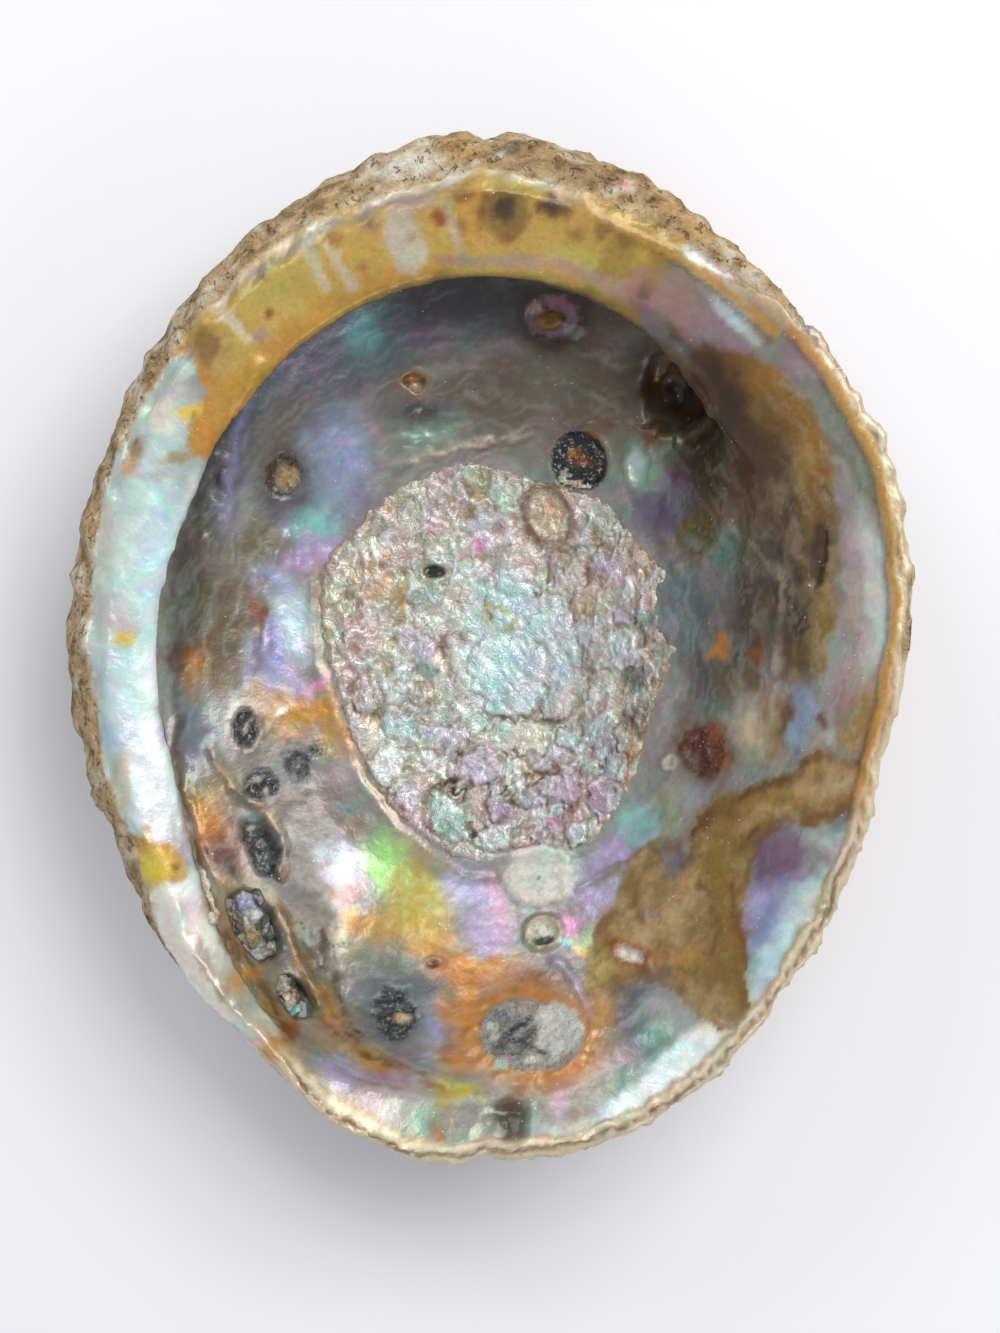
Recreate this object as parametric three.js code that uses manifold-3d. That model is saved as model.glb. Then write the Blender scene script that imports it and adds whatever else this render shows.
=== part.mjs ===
// An abalone shell lying on its back, with the nacre bowl open upwards. Millimetres, +Z up.
// The shell is one closed wall: every section runs from the floor of the bowl up its inside, under and
// over the nacre shelf, across the rim, and down the rough outside to the underside of the floor.
// +Y points to the spire end, -Y to the notched front end, and -X to the side with the row of pores.

import * as THREE from "three";
import { ParametricGeometry } from "three/addons/geometries/ParametricGeometry.js";
import { mergeVertices } from "three/addons/utils/BufferGeometryUtils.js";
import Module from "manifold-3d";

const wasm = await Module();
wasm.setup();

// Driving dimensions. A list holds one value for each 22.5 degrees, from +X round through +Y.
const poleY = -3; // all sections meet above and below this point of the Y axis
const rimRadius = [82.8, 88.6, 91.6, 92.4, 94.8, 93, 88.3, 83, 80.6, 81, 85, 94.7, 101.5, 96.6, 86.8, 82.6];
const rimHeight = [58, 57, 54.5, 52.5, 53, 54, 53, 52, 51, 50, 48.5, 48, 49, 52, 56, 58];
const shelfWidth = [15, 19, 24.6, 18.4, 17.5, 18, 17.3, 16, 14.5, 12.7, 6.8, 5, 11, 13, 13, 14];
const shelfDrop = [10, 12, 15, 7, 4, 3.5, 3, 3, 3, 3.5, 4.5, 5, 6.5, 8, 9, 10];
const undercut = [0, 0, 3, 15, 21, 20, 17, 14, 12, 10, 6, 2, 0, 0, 0, 0]; // hollow beyond the shelf's edge
const bulge = [-4, -4, 1, 12.5, 15, 10.8, 7.1, 6.3, 7.1, 6.2, 2.5, -2, -4, -4, -4, -4]; // outside past rim
const fullUndercut = 6; // an undercut this deep makes the wall stand upright below the shelf
const floorHeight = 8; // inside of the bowl at the poles
const floorThickness = 6.2;
const lipThickness = 4.2; // the growing edge, where there is no shelf
const wallBelowShelf = 11; // from the shelf's edge down to the widest part of the hollow
const rimBevel = 2.4;

const slices = 92; // sections round the shell
const insideRows = 27;
const outsideRows = 15;

// The row of pores from the spire round the pore side to the front notch, in plan.
const poreRow = [
  [46, 60], [30, 67], [10, 68], [-15, 64], [-38, 51], [-53, 33], [-60, 12],
  [-62, -10], [-59, -33], [-54, -48], [-48, -59], [-41, -74], [-22, -91], [-2, -103],
];
const keelHeight = 2.2;
const keelWidth = 7;
const closedPores = { count: 9, firstShare: 0.06, lastShare: 0.66, height: 2.6, radius: 6.5 };
const openPores = [
  { at: [-48, -59, 26], halfWidth: 4, halfLength: 8.6, heading: 115, lean: 28 },
  { at: [-40.5, -74, 27], halfWidth: 3.2, halfLength: 5.4, heading: 118, lean: 26 },
];
const collar = { height: 2.4, radius: 10 }; // the raised ring round an open pore, on the outside
const boreHole = { at: [-43.6, 35.8], radius: 1.9 }; // a small hole eaten through the wall
const notch = { at: [-1.5, -105, 49.5], halfWidth: 4.6, halfLength: 3.4, halfHeight: 7 };
const spire = { at: [45, 60], height: 6, radius: 19 };
const spirePit = { at: [41.5, 54.5], depth: 11, radius: 7.5 };
const muscleScar = { at: [1.5, -4.5], halfWidth: 37, halfLength: 43, height: 0.9, edge: 0.12 };
// Worn lumps of the outside, cut off by the table plane, that the shell rests on.
const restingLumps = [
  { at: [20, 36], radius: 17 },
  { at: [-32, 32], radius: 17 },
  { at: [-7, -24], radius: 17 },
];
const lumpDepth = 0.9; // below the table plane, before the lump is cut off there

const spread = [1, 2, 3, 4, 3, 2, 1]; // weights that even out the outside round the shell
const spreadStep = 0.024;

const lerp = THREE.MathUtils.lerp;
const smooth = THREE.MathUtils.smoothstep;

// The list as a smooth closed function of the turn, where 1 is the whole way round.
function around(list) {
  const curve = new THREE.CatmullRomCurve3(
    list.map((value) => new THREE.Vector3(value, 0, 0)), true, "catmullrom", 0.5,
  );
  return (turn) => curve.getPoint(((turn % 1) + 1) % 1).x;
}

const rimRadiusAt = around(rimRadius);
const rimHeightAt = around(rimHeight);
const shelfWidthAt = around(shelfWidth);
const shelfDropAt = around(shelfDrop);
const undercutAt = around(undercut);
const bulgeAt = around(bulge);

// The section at one turn, as points (distance from the poles, height): inside, then outside.
function section(turn) {
  const rim = rimRadiusAt(turn);
  const top = rimHeightAt(turn);
  const width = shelfWidthAt(turn);
  const drop = shelfDropAt(turn);
  const hollow = Math.max(0, undercutAt(turn));
  const upright = smooth(hollow, 0, fullUndercut);
  const edge = { r: rim - width, z: top - drop };
  const slope = (1.3 * drop) / width; // of the wall where nothing overhangs it
  const run = 6 * (1 - upright);
  const wall = {
    r: edge.r - run + hollow,
    z: edge.z - run * slope - upright * wallBelowShelf,
  };
  const rise = wall.z - floorHeight;
  const flare = 2 - (slope * wall.r) / rise / 2;

  const bowl = (share) => {
    const open = flare * share ** 2 + (1 - flare) * share ** 4;
    const round = 1 - Math.sqrt(1 - share * share);
    return new THREE.Vector2(share * wall.r, floorHeight + rise * lerp(open, round, upright));
  };
  // A point on the plain wall, moved to its place under the shelf as the wall turns upright.
  const under = (share, r, z) => new THREE.Vector2(
    lerp(lerp(wall.r, edge.r, share), r, upright),
    lerp(lerp(wall.z, edge.z, share), z, upright),
  );
  const inside = [
    ...[0, 0.16, 0.32, 0.48, 0.62, 0.75, 0.86, 0.94].map(bowl),
    new THREE.Vector2(wall.r, wall.z),
    under(0.3, wall.r - 0.12 * hollow, wall.z + 4.5),
    under(0.55, edge.r + 0.38 * hollow, edge.z - 3.9),
    under(0.78, edge.r + 0.6, edge.z - 2.9),
    under(0.92, edge.r, edge.z - 1.2),
    new THREE.Vector2(edge.r + 0.9, edge.z + 0.1),
    new THREE.Vector2(edge.r + 0.36 * width, edge.z + 0.36 * drop),
    new THREE.Vector2(edge.r + 0.7 * width, edge.z + 0.7 * drop),
    new THREE.Vector2(rim - rimBevel, top),
  ];

  const wallThickness = lerp(lipThickness + 0.8, rim + bulgeAt(turn) - wall.r, upright);
  const outer = (share) => {
    const near = Math.min(share, 0.985);
    const step = 0.01;
    const along = bowl(near + step).sub(bowl(near - step)).normalize();
    const thickness = lerp(floorThickness, wallThickness, share ** 3);
    return bowl(Math.min(share, 1)).add(new THREE.Vector2(along.y, -along.x).multiplyScalar(thickness));
  };
  const lip = new THREE.Vector2(drop, -width).normalize().multiplyScalar(lipThickness);
  const shoulder = new THREE.Vector2(
    lerp(edge.r + lip.x, rim + 0.75 * bulgeAt(turn), upright),
    lerp(edge.z + lip.y, lerp(top, wall.z, 0.45), upright),
  );
  const outside = [
    new THREE.Vector2(rim, top - rimBevel),
    shoulder,
    ...[1, 0.9, 0.76, 0.6, 0.42, 0.22].map(outer),
    new THREE.Vector2(0, floorHeight - floorThickness),
  ];
  return { inside, outside };
}

// One side of the section as a curve. It is evened out round the shell where evenness(row) is above 0.
function sectionCurve(turn, side, evenness) {
  const total = spread.reduce((sum, weight) => sum + weight);
  const plain = section(turn)[side];
  const even = plain.map(() => new THREE.Vector2());
  spread.forEach((weight, i) => {
    const near = section(turn + (i - 3) * spreadStep)[side];
    even.forEach((spot, row) => spot.addScaledVector(near[row], weight / total));
  });
  return new THREE.SplineCurve(plain.map((spot, row) => spot.lerp(even[row], evenness(row))));
}

const hump = (x, y, spot, radius) => Math.exp(-((x - spot[0]) ** 2 + (y - spot[1]) ** 2) / radius ** 2);

const rowCurve = new THREE.CatmullRomCurve3(poreRow.map(([x, y]) => new THREE.Vector3(x, y, 0)));
const rowPoints = rowCurve.getSpacedPoints(120);
const knobs = Array.from({ length: closedPores.count }, (_, i) => {
  const share = lerp(closedPores.firstShare, closedPores.lastShare, i / (closedPores.count - 1));
  const spot = rowCurve.getPointAt(share);
  return { at: [spot.x, spot.y], size: lerp(0.5, 1, i / (closedPores.count - 1)) };
});

// How far the outside stands out at a point of the plan: spire, keel, closed pores and collars.
function outsideRelief(x, y) {
  const toRow = Math.min(...rowPoints.map((spot) => Math.hypot(spot.x - x, spot.y - y)));
  let out = keelHeight * Math.exp(-((toRow / keelWidth) ** 2));
  out += spire.height * hump(x, y, spire.at, spire.radius);
  for (const knob of knobs) {
    out += closedPores.height * knob.size * hump(x, y, knob.at, closedPores.radius * knob.size);
  }
  for (const pore of openPores) out += collar.height * hump(x, y, pore.at, collar.radius);
  return out;
}

// How far the floor of the bowl rises or sinks at a point of the plan: muscle scar and spire pit.
function insideRelief(x, y) {
  const across = (x - muscleScar.at[0]) / muscleScar.halfWidth;
  const along = (y - muscleScar.at[1]) / muscleScar.halfLength;
  const scar = 1 - smooth(Math.hypot(across, along), 1 - muscleScar.edge, 1 + muscleScar.edge);
  return muscleScar.height * scar - spirePit.depth * hump(x, y, spirePit.at, spirePit.radius);
}

const rows = insideRows + outsideRows;
const sections = new Map();
function sectionAt(turn) {
  if (!sections.has(turn)) {
    const inside = sectionCurve(turn, "inside", (row) => 1 - smooth(row, 4, 9));
    const outside = sectionCurve(turn, "outside", (row) => smooth(row, 0, 3));
    sections.set(turn, { inside, outside });
  }
  return sections.get(turn);
}

// The wall's surface: u goes clockwise round the shell, v from the floor inside over the rim to the floor outside.
function wallPoint(u, v, target) {
  const { inside, outside } = sectionAt(1 - u);
  const row = v * rows;
  const isInside = row <= insideRows;
  const spot = isInside
    ? inside.getPoint(row / insideRows)
    : outside.getPoint((row - insideRows) / outsideRows);
  const angle = (1 - u) * 2 * Math.PI;
  const x = spot.x * Math.cos(angle);
  const y = poleY + spot.x * Math.sin(angle);
  if (isInside) {
    const onFloor = smooth(inside.getPoint(8 / 16).y + 2 - spot.y, 0, 5);
    target.set(x, y, spot.y + onFloor * insideRelief(x, y));
    return;
  }
  const share = (row - insideRows) / outsideRows;
  const fade = smooth(share, 0.12, 0.35);
  const outward = lerp(0.75, 0.25, smooth(share, 0.3, 0.8));
  const relief = fade * outsideRelief(x, y);
  const radial = new THREE.Vector2(Math.cos(angle), Math.sin(angle)).multiplyScalar(outward * relief);
  let z = spot.y - (1 - outward) * relief;
  for (const lump of restingLumps) z = lerp(z, -lumpDepth, hump(x, y, lump.at, lump.radius));
  target.set(x + radial.x, y + radial.y, z);
}

// A closed geometry as a manifold-3d solid, without the collapsed triangles at its poles.
function solidOf(geometry) {
  const bare = new THREE.BufferGeometry().setAttribute("position", geometry.getAttribute("position"));
  bare.setIndex(geometry.index);
  const merged = mergeVertices(bare, 1e-4);
  const corners = merged.index.array;
  const triangles = [];
  for (let i = 0; i < corners.length; i += 3) {
    const [a, b, c] = [corners[i], corners[i + 1], corners[i + 2]];
    if (a !== b && b !== c && c !== a) triangles.push(a, b, c);
  }
  return new wasm.Manifold(new wasm.Mesh({
    numProp: 3,
    vertProperties: merged.attributes.position.array,
    triVerts: new Uint32Array(triangles),
  }));
}

function geometryOf(solid) {
  const { vertProperties, triVerts } = solid.getMesh();
  const geometry = new THREE.BufferGeometry();
  geometry.setAttribute("position", new THREE.BufferAttribute(new Float32Array(vertProperties), 3));
  geometry.setIndex(new THREE.BufferAttribute(new Uint32Array(triVerts), 1));
  geometry.computeVertexNormals();
  return geometry;
}

// A drill with rounded sides: oval in section, standing along Z until it is leaned outwards.
function drill(halfWidth, halfLength, heading, lean, at, length = 60) {
  const geometry = new THREE.CylinderGeometry(1, 1, length, 20);
  geometry.rotateX(Math.PI / 2);
  geometry.scale(halfLength, halfWidth, 1);
  geometry.rotateX(THREE.MathUtils.degToRad(lean));
  geometry.rotateZ(THREE.MathUtils.degToRad(heading));
  geometry.translate(...at);
  return geometry;
}

// Everything below the plane z = 0.
function table() {
  const geometry = new THREE.BoxGeometry(400, 400, 20);
  geometry.translate(0, 0, -10);
  return geometry;
}

function notchCutter() {
  const geometry = new THREE.SphereGeometry(1, 20, 14);
  geometry.scale(notch.halfWidth, notch.halfLength, notch.halfHeight);
  geometry.translate(...notch.at);
  return geometry;
}

function shellGeometry() {
  let solid = solidOf(new ParametricGeometry(wallPoint, slices, rows));
  const tools = [
    ...openPores.map((pore) => drill(pore.halfWidth, pore.halfLength, pore.heading, pore.lean, pore.at)),
    drill(boreHole.radius, boreHole.radius, 0, 0, [...boreHole.at, 20]),
    notchCutter(),
  ];
  for (const tool of tools) solid = solid.subtract(solidOf(tool));
  const geometry = geometryOf(solid.subtract(solidOf(table())));
  geometry.computeBoundingBox();
  const middle = geometry.boundingBox.getCenter(new THREE.Vector3());
  return geometry.translate(-middle.x, -middle.y, 0);
}

const shell = new THREE.Mesh(
  shellGeometry(),
  new THREE.MeshStandardMaterial({ color: 0xb9b2a3, roughness: 0.35, metalness: 0.1 }),
);
shell.name = "abalone_shell";

const group = new THREE.Group();
group.add(shell);
export default group;
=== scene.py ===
import math

import bpy
import numpy as np
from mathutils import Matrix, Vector, noise
from mathutils.bvhtree import BVHTree


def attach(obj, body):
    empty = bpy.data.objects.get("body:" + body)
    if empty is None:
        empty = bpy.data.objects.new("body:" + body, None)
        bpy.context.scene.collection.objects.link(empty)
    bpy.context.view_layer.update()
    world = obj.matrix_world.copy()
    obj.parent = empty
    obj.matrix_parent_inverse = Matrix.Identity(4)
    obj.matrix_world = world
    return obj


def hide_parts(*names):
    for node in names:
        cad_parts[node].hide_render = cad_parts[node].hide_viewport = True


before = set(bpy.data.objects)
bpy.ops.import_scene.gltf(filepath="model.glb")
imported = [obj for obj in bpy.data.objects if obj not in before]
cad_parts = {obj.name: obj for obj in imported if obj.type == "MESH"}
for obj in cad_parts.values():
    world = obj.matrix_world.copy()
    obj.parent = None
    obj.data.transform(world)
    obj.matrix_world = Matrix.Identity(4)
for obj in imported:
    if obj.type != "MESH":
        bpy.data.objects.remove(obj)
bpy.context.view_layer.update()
print("frame loaded")

mm = 0.001

# Places on the shell are given in mm on a plan, as seen from straight above: x to the lip, y to the spire.
plan = {
    "shift": (1.9, -0.3),     # from the plan's zero to the frame's
    "middle": (2.2, -4.7),    # the point that is looked straight down on
    "rimPlane": 53.0,
    "eyeHeight": 520.0,       # above the rim plane
    "pole": (0.0, -3.0),      # angles round the shell are measured here
}


def linear(colour):
    parts = [value / 255 for value in colour]
    return np.array([p / 12.92 if p < 0.04045 else ((p + 0.055) / 1.055) ** 2.4 for p in parts])


def smoothStep(low, high, value):
    t = np.clip((value - low) / (high - low), 0, 1)
    return t * t * (3 - 2 * t)


# 1 between the two middle values, with a smooth rise before them and a smooth fall after them.
def plateau(value, start, full, ending, end):
    return smoothStep(start, full, value) * (1 - smoothStep(ending, end, value))


# Stage: camera, floor and lights.

stageLook = {
    "frameHeight": 266.6,     # mm of the rim plane that the view is tall
    "paper": (236, 236, 240),
    "sky": (0.93, 0.95, 1.0),
    "skyStrength": 0.52,
    "lamps": [  # name, place, size, power, colour
        ("key", (0.52, 0.56, 1.1), 0.85, 12.4, (1.0, 0.985, 0.95)),
        ("fill", (-0.5, 0.75, 0.8), 0.45, 2.2, (0.94, 0.96, 1.0)),
        ("front", (0.5, -0.8, 0.75), 0.4, 1.2, (1.0, 1.0, 1.0)),
    ],
}


def makeCamera():
    middle = [(a + b) * mm for a, b in zip(plan["middle"], plan["shift"])]
    data = bpy.data.cameras.new("camera")
    data.sensor_width = 36
    data.lens = 36 * plan["eyeHeight"] / stageLook["frameHeight"]
    camera = bpy.data.objects.new("camera", data)
    camera.location = (middle[0], middle[1], (plan["rimPlane"] + plan["eyeHeight"]) * mm)
    bpy.context.scene.collection.objects.link(camera)
    bpy.context.scene.camera = camera


def makeStage():
    bpy.ops.object.select_all(action="DESELECT")
    bpy.ops.mesh.primitive_plane_add(size=4, location=(0, 0, 0))
    floor = bpy.context.object
    floor.name = "paper"
    paper = bpy.data.materials.new("paper")
    paper.use_nodes = True
    shader = paper.node_tree.nodes["Principled BSDF"]
    shader.inputs["Base Color"].default_value = (*linear(stageLook["paper"]), 1)
    shader.inputs["Roughness"].default_value = 0.9
    floor.data.materials.append(paper)

    sky = bpy.data.worlds.new("sky")
    sky.use_nodes = True
    light = sky.node_tree.nodes["Background"]
    light.inputs["Color"].default_value = (*stageLook["sky"], 1)
    light.inputs["Strength"].default_value = stageLook["skyStrength"]
    bpy.context.scene.world = sky

    for name, place, size, power, colour in stageLook["lamps"]:
        light = bpy.data.lights.new(name, "AREA")
        light.size = size
        light.energy = power
        light.color = colour
        lamp = bpy.data.objects.new(name, light)
        lamp.location = place
        lamp.rotation_euler = (-Vector(place)).to_track_quat("-Z", "Y").to_euler()
        bpy.context.scene.collection.objects.link(lamp)
    bpy.context.scene.view_settings.view_transform = "Standard"


makeCamera()
makeStage()
print("stage set")

# The shell's mesh.

blank = {
    "weld": 0.01 * mm,
    "voxel": 1.64 * mm,
    "melt": 12,               # rounds that melt the CAD facets
    "meltFine": 4,
    "meltSkin": 2,
    "pulls": (0.6, -0.62),
    "rayLift": 0.5 * mm,      # above the surface, where a ray starts
    "facing": -0.1,           # upward part of the normal from which a face is made finer
}


def pointsOf(mesh):
    flat = np.empty(len(mesh.vertices) * 3)
    mesh.vertices.foreach_get("co", flat)
    return flat.reshape(-1, 3)


def normalsOf(mesh):
    flat = np.empty(len(mesh.vertices) * 3)
    mesh.vertices.foreach_get("normal", flat)
    return flat.reshape(-1, 3)


def setPoints(mesh, points):
    mesh.vertices.foreach_set("co", points.astype(np.float32).ravel())
    mesh.update()


def edgesOf(mesh):
    flat = np.empty(len(mesh.edges) * 2, int)
    mesh.edges.foreach_get("vertices", flat)
    return flat.reshape(-1, 2)


# Taubin smoothing: a pull in, then a push out, so the thin lip keeps its thickness.
def melt(points, edges, rounds):
    count = np.bincount(edges.ravel(), minlength=len(points))[:, None]
    for _ in range(rounds):
        for pull in blank["pulls"]:
            near = np.column_stack([
                np.bincount(edges[:, 0], points[edges[:, 1], axis], len(points))
                + np.bincount(edges[:, 1], points[edges[:, 0], axis], len(points))
                for axis in range(3)
            ])
            points = points + pull * (near / count - points)
    return points


def onlyActive(thing):
    bpy.ops.object.select_all(action="DESELECT")
    thing.select_set(True)
    bpy.context.view_layer.objects.active = thing


def makeBlank():
    shell = bpy.data.objects.new("abaloneShell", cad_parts["abalone_shell"].data.copy())
    bpy.context.scene.collection.objects.link(shell)
    onlyActive(shell)
    bpy.ops.object.mode_set(mode="EDIT")
    bpy.ops.mesh.select_all(action="SELECT")
    bpy.ops.mesh.remove_doubles(threshold=blank["weld"])
    bpy.ops.object.mode_set(mode="OBJECT")
    mesh = shell.data
    tree = BVHTree.FromPolygons([v.co.copy() for v in mesh.vertices], [p.vertices[:] for p in mesh.polygons])
    mesh.remesh_voxel_size = blank["voxel"]
    bpy.ops.object.voxel_remesh()
    setPoints(mesh, melt(pointsOf(mesh), edgesOf(mesh), blank["melt"]))
    return shell, tree


# What the relief and the colours need to know about each point of a mesh.
class Site:
    def __init__(self, mesh):
        self.mesh = mesh
        self.row = pointsOf(mesh)
        self.normal = normalsOf(mesh)
        self.at = self.row / mm - (*plan["shift"], 0)
        x, y, self.z = self.at.T
        near = plan["eyeHeight"] / (plan["eyeHeight"] + plan["rimPlane"] - self.z)
        self.x = plan["middle"][0] + (x - plan["middle"][0]) * near
        self.y = plan["middle"][1] + (y - plan["middle"][1]) * near
        px, py = plan["pole"]
        self.angle = np.degrees(np.arctan2(y - py, x - px)) % 360
        self.radius = np.hypot(x - px, y - py)
        self.seenAngle = np.degrees(np.arctan2(self.y - py, self.x - px)) % 360
        self.seenRadius = np.hypot(self.x - px, self.y - py)

    def prepare(self):
        self.wander = cloud(self, 7, 3), cloud(self, 7, 3, 31.7)
        self.drift = cloud(self, 2.2, 2, 5.1), cloud(self, 2.2, 2, 47.3)
        self.softX = self.x + 2.4 * self.wander[0] + 0.7 * self.drift[0]
        self.softY = self.y + 2.4 * self.wander[1] + 0.7 * self.drift[1]
        self.firmX = self.x + 0.9 * self.wander[0] + 0.5 * self.drift[0]
        self.firmY = self.y + 0.9 * self.wander[1] + 0.5 * self.drift[1]
        self.tint = np.tile(paint["grey"], (len(self.x), 1))
        self.stain = np.zeros(len(self.x))
        self.grit = np.zeros(len(self.x))


# How the points lie to the rim, and which of them are on the inside of the shell.
def findInside(site, tree):
    step = (site.angle // 2).astype(int)
    order = np.argsort(site.z)
    rimZ, rimR, lipR = np.zeros(180), np.zeros(180), np.zeros(180)
    rimZ[step[order]] = site.z[order]
    rimR[step[order]] = site.radius[order]
    site.rimHeight = ring(rimZ, site.angle)
    site.rimRadius = ring(rimR, site.angle)
    seenStep = (site.seenAngle // 2).astype(int)
    np.maximum.at(lipR, seenStep, np.where(site.z > site.rimHeight - 7, site.seenRadius, 0))
    site.lipGap = ring(lipR, site.seenAngle) - site.seenRadius
    px, py = [(a + b) * mm for a, b in zip(plan["pole"], plan["shift"])]
    inside = np.zeros(len(site.row), bool)
    nearRim = site.radius > site.rimRadius - 3
    for i, (p, n) in enumerate(zip(site.row, site.normal)):
        start = Vector(p + n * blank["rayLift"])
        if tree.ray_cast(start, Vector((0, 0, -1)))[0] is None:
            continue
        if nearRim[i] and site.z[i] < site.rimHeight[i] - 1.2:
            out = Vector((p[0] - px, p[1] - py, 0)).normalized()
            if tree.ray_cast(start, out)[0] is None:
                continue
        inside[i] = True
    site.inside = inside & ~((site.radius > site.rimRadius + 0.6) & (site.z > site.rimHeight - 6))
    gap = np.hypot(site.radius - site.rimRadius, site.z - site.rimHeight)
    site.fromRim = np.where(site.inside, gap, -gap)


# A list with one value every few degrees, as a smooth closed function of the angle.
def ring(values, angle):
    values = np.asarray(values, float)
    kernel = np.array([1, 2, 3, 2, 1]) / 9
    wide = np.concatenate([values[-4:], values, values[:4]])
    even = np.convolve(wide, kernel, "same")[4:-4]
    step = 360 / len(values)
    grid = (np.arange(len(values) + 2) - 1) * step + step / 2
    return np.interp(angle, grid, np.concatenate([even[-1:], even, even[:1]]))


def makeFine(shell, tree):
    mesh = shell.data
    site = Site(mesh)
    findInside(site, tree)
    corners = np.empty(len(mesh.polygons) * 4, int)
    mesh.polygons.foreach_get("vertices", corners)
    corners = corners.reshape(-1, 4)
    fine = site.inside & (site.normal[:, 2] > blank["facing"])
    selectFaces(shell, fine[corners].all(axis=1))
    bpy.ops.mesh.subdivide(number_cuts=1)
    bpy.ops.object.mode_set(mode="OBJECT")
    setPoints(mesh, melt(pointsOf(mesh), edgesOf(mesh), blank["meltFine"]))


# Leaves the object in edit mode with the chosen faces selected.
def selectFaces(thing, chosen):
    onlyActive(thing)
    bpy.ops.object.mode_set(mode="EDIT")
    bpy.ops.mesh.select_mode(type="FACE")
    bpy.ops.mesh.select_all(action="DESELECT")
    bpy.ops.object.mode_set(mode="OBJECT")
    thing.data.polygons.foreach_set("select", chosen)
    bpy.ops.object.mode_set(mode="EDIT")


# Fields: distances and noise over the plan.


# Noise at the points of a site; a stretch of (1, 4) with a turn makes streaks along that heading.
def cloud(site, size, octaves=2, offset=0.0, stretch=(1, 1), turn=0):
    where = turned(site, turn) / (size * stretch[0], size * stretch[1], size) + offset
    return np.array([noise.fractal(p, 0.8, 2.0, octaves) for p in where.tolist()])


def creases(site, size, octaves=3, offset=0.0, stretch=(1, 1), turn=0):
    where = turned(site, turn) / (size * stretch[0], size * stretch[1], size) + offset
    heights = [noise.ridged_multi_fractal(p, 0.9, 2.1, octaves, 1.0, 2.0) for p in where.tolist()]
    return np.array(heights) - 1.1


def turned(site, turn):
    c, s = math.cos(math.radians(turn)), math.sin(math.radians(turn))
    x, y, z = site.at.T
    return np.column_stack([x * c + y * s, -x * s + y * c, z])


# Broken flakes: the gap to the crack between two flakes in mm, and three fixed numbers for each flake.
def flakes(site, size, offset=0.0, warp=0.0):
    where = site.at / size + offset
    where[:, 0] += warp * site.drift[0]
    where[:, 1] += warp * site.drift[1]
    where[:, 2] = offset
    gap = np.empty(len(where))
    own = np.empty((len(where), 3))
    for i, p in enumerate(where.tolist()):
        distances, centres = noise.voronoi(p)
        gap[i] = (distances[1] - distances[0]) * size
        own[i] = noise.cell_vector(centres[0] * 37.1)
    return gap, own


# Distance from a line through the given points, in mm, and how far along it the nearest point lies.
def fromLine(points, x, y):
    best = np.full(len(x), 1e9)
    along = np.zeros(len(x))
    done = 0.0
    for (ax, ay), (bx, by) in zip(points, points[1:]):
        dx, dy = bx - ax, by - ay
        length = math.hypot(dx, dy)
        t = np.clip(((x - ax) * dx + (y - ay) * dy) / length ** 2, 0, 1)
        gap = np.hypot(x - ax - t * dx, y - ay - t * dy)
        closer = gap < best
        best = np.where(closer, gap, best)
        along = np.where(closer, done + t * length, along)
        done += length
    return best, along / done


# Distance from an outline, in mm: negative inside it.
def fromOutline(points, x, y):
    loop = [*points, points[0]]
    gap, _ = fromLine(loop, x, y)
    inside = np.zeros(len(x), bool)
    for (ax, ay), (bx, by) in zip(loop, loop[1:]):
        crosses = (ay > y) != (by > y)
        span = by - ay if by != ay else 1e-9
        inside ^= crosses & (x < (bx - ax) * (y - ay) / span + ax)
    return np.where(inside, -gap, gap)


# Distance from the edge of an oval, in mm: negative inside it.
def fromOval(x, y, at, halfWidth, halfLength, turn=0):
    c, s = math.cos(math.radians(turn)), math.sin(math.radians(turn))
    u = (x - at[0]) * c + (y - at[1]) * s
    v = -(x - at[0]) * s + (y - at[1]) * c
    return (np.hypot(u / halfWidth, v / halfLength) - 1) * min(halfWidth, halfLength)


# A smoother line: the given points with rounded corners.
def rounded(points, rounds=2, closed=False):
    for _ in range(rounds):
        ends = [*points, points[0]] if closed else points
        cut = []
        for (ax, ay), (bx, by) in zip(ends, ends[1:]):
            cut.append((ax * 0.75 + bx * 0.25, ay * 0.75 + by * 0.25))
            cut.append((ax * 0.25 + bx * 0.75, ay * 0.25 + by * 0.75))
        points = cut if closed else [points[0], *cut, points[-1]]
    return points


def byAngle(rows, angle):
    return np.interp(angle, *zip(*rows))


# The inner edge of the shelf: (angle, distance from the pole).
shelfEdge = [
    (44, 64), (48.6, 68), (51.5, 69), (56, 71.3), (60, 72.6), (65, 73.8), (70, 74.2), (75, 75.7), (80, 76.8),
    (90, 77.3), (96, 77.4), (101, 76.5), (107, 75.8), (114, 74.8), (119, 73.9), (125, 72.8), (132, 71.5),
    (139, 70.2), (146, 69.1), (154, 67.5), (164, 66), (177, 66), (186, 66.4), (195, 67.2), (201, 68.2),
    (209, 71.2), (215, 73.2), (221, 76.6), (227, 79.2), (234, 80.8), (239, 84.4), (244, 88),
]

# Where nacre gives way to the crusted outside, from the upper lip round by the spire to the front: points.
crustLine = [
    (68, 53), (64, 58.5), (59, 63.5), (53, 69), (47, 74), (40, 79), (33, 82.5), (25, 86), (18, 89),
    (10, 90.5), (4, 91.5), (-2, 93.3), (-8, 92), (-14, 90.8), (-20, 89.5), (-30, 86.5), (-40, 82), (-45, 78),
    (-50, 73.5), (-55, 68.5), (-59, 64), (-62, 60), (-66, 54), (-68.5, 50), (-70.5, 45), (-73, 40),
    (-75.3, 35), (-76.8, 30), (-78.2, 24), (-79.5, 15), (-80, 5), (-79.6, -5), (-78.6, -15), (-77.6, -22),
    (-75.2, -30), (-71.8, -40.2), (-68.4, -50.2), (-62.8, -59.6), (-55.8, -69.2), (-51.6, -74), (-47.4, -79),
    (-43.6, -83.4), (-40, -87),
]


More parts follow.
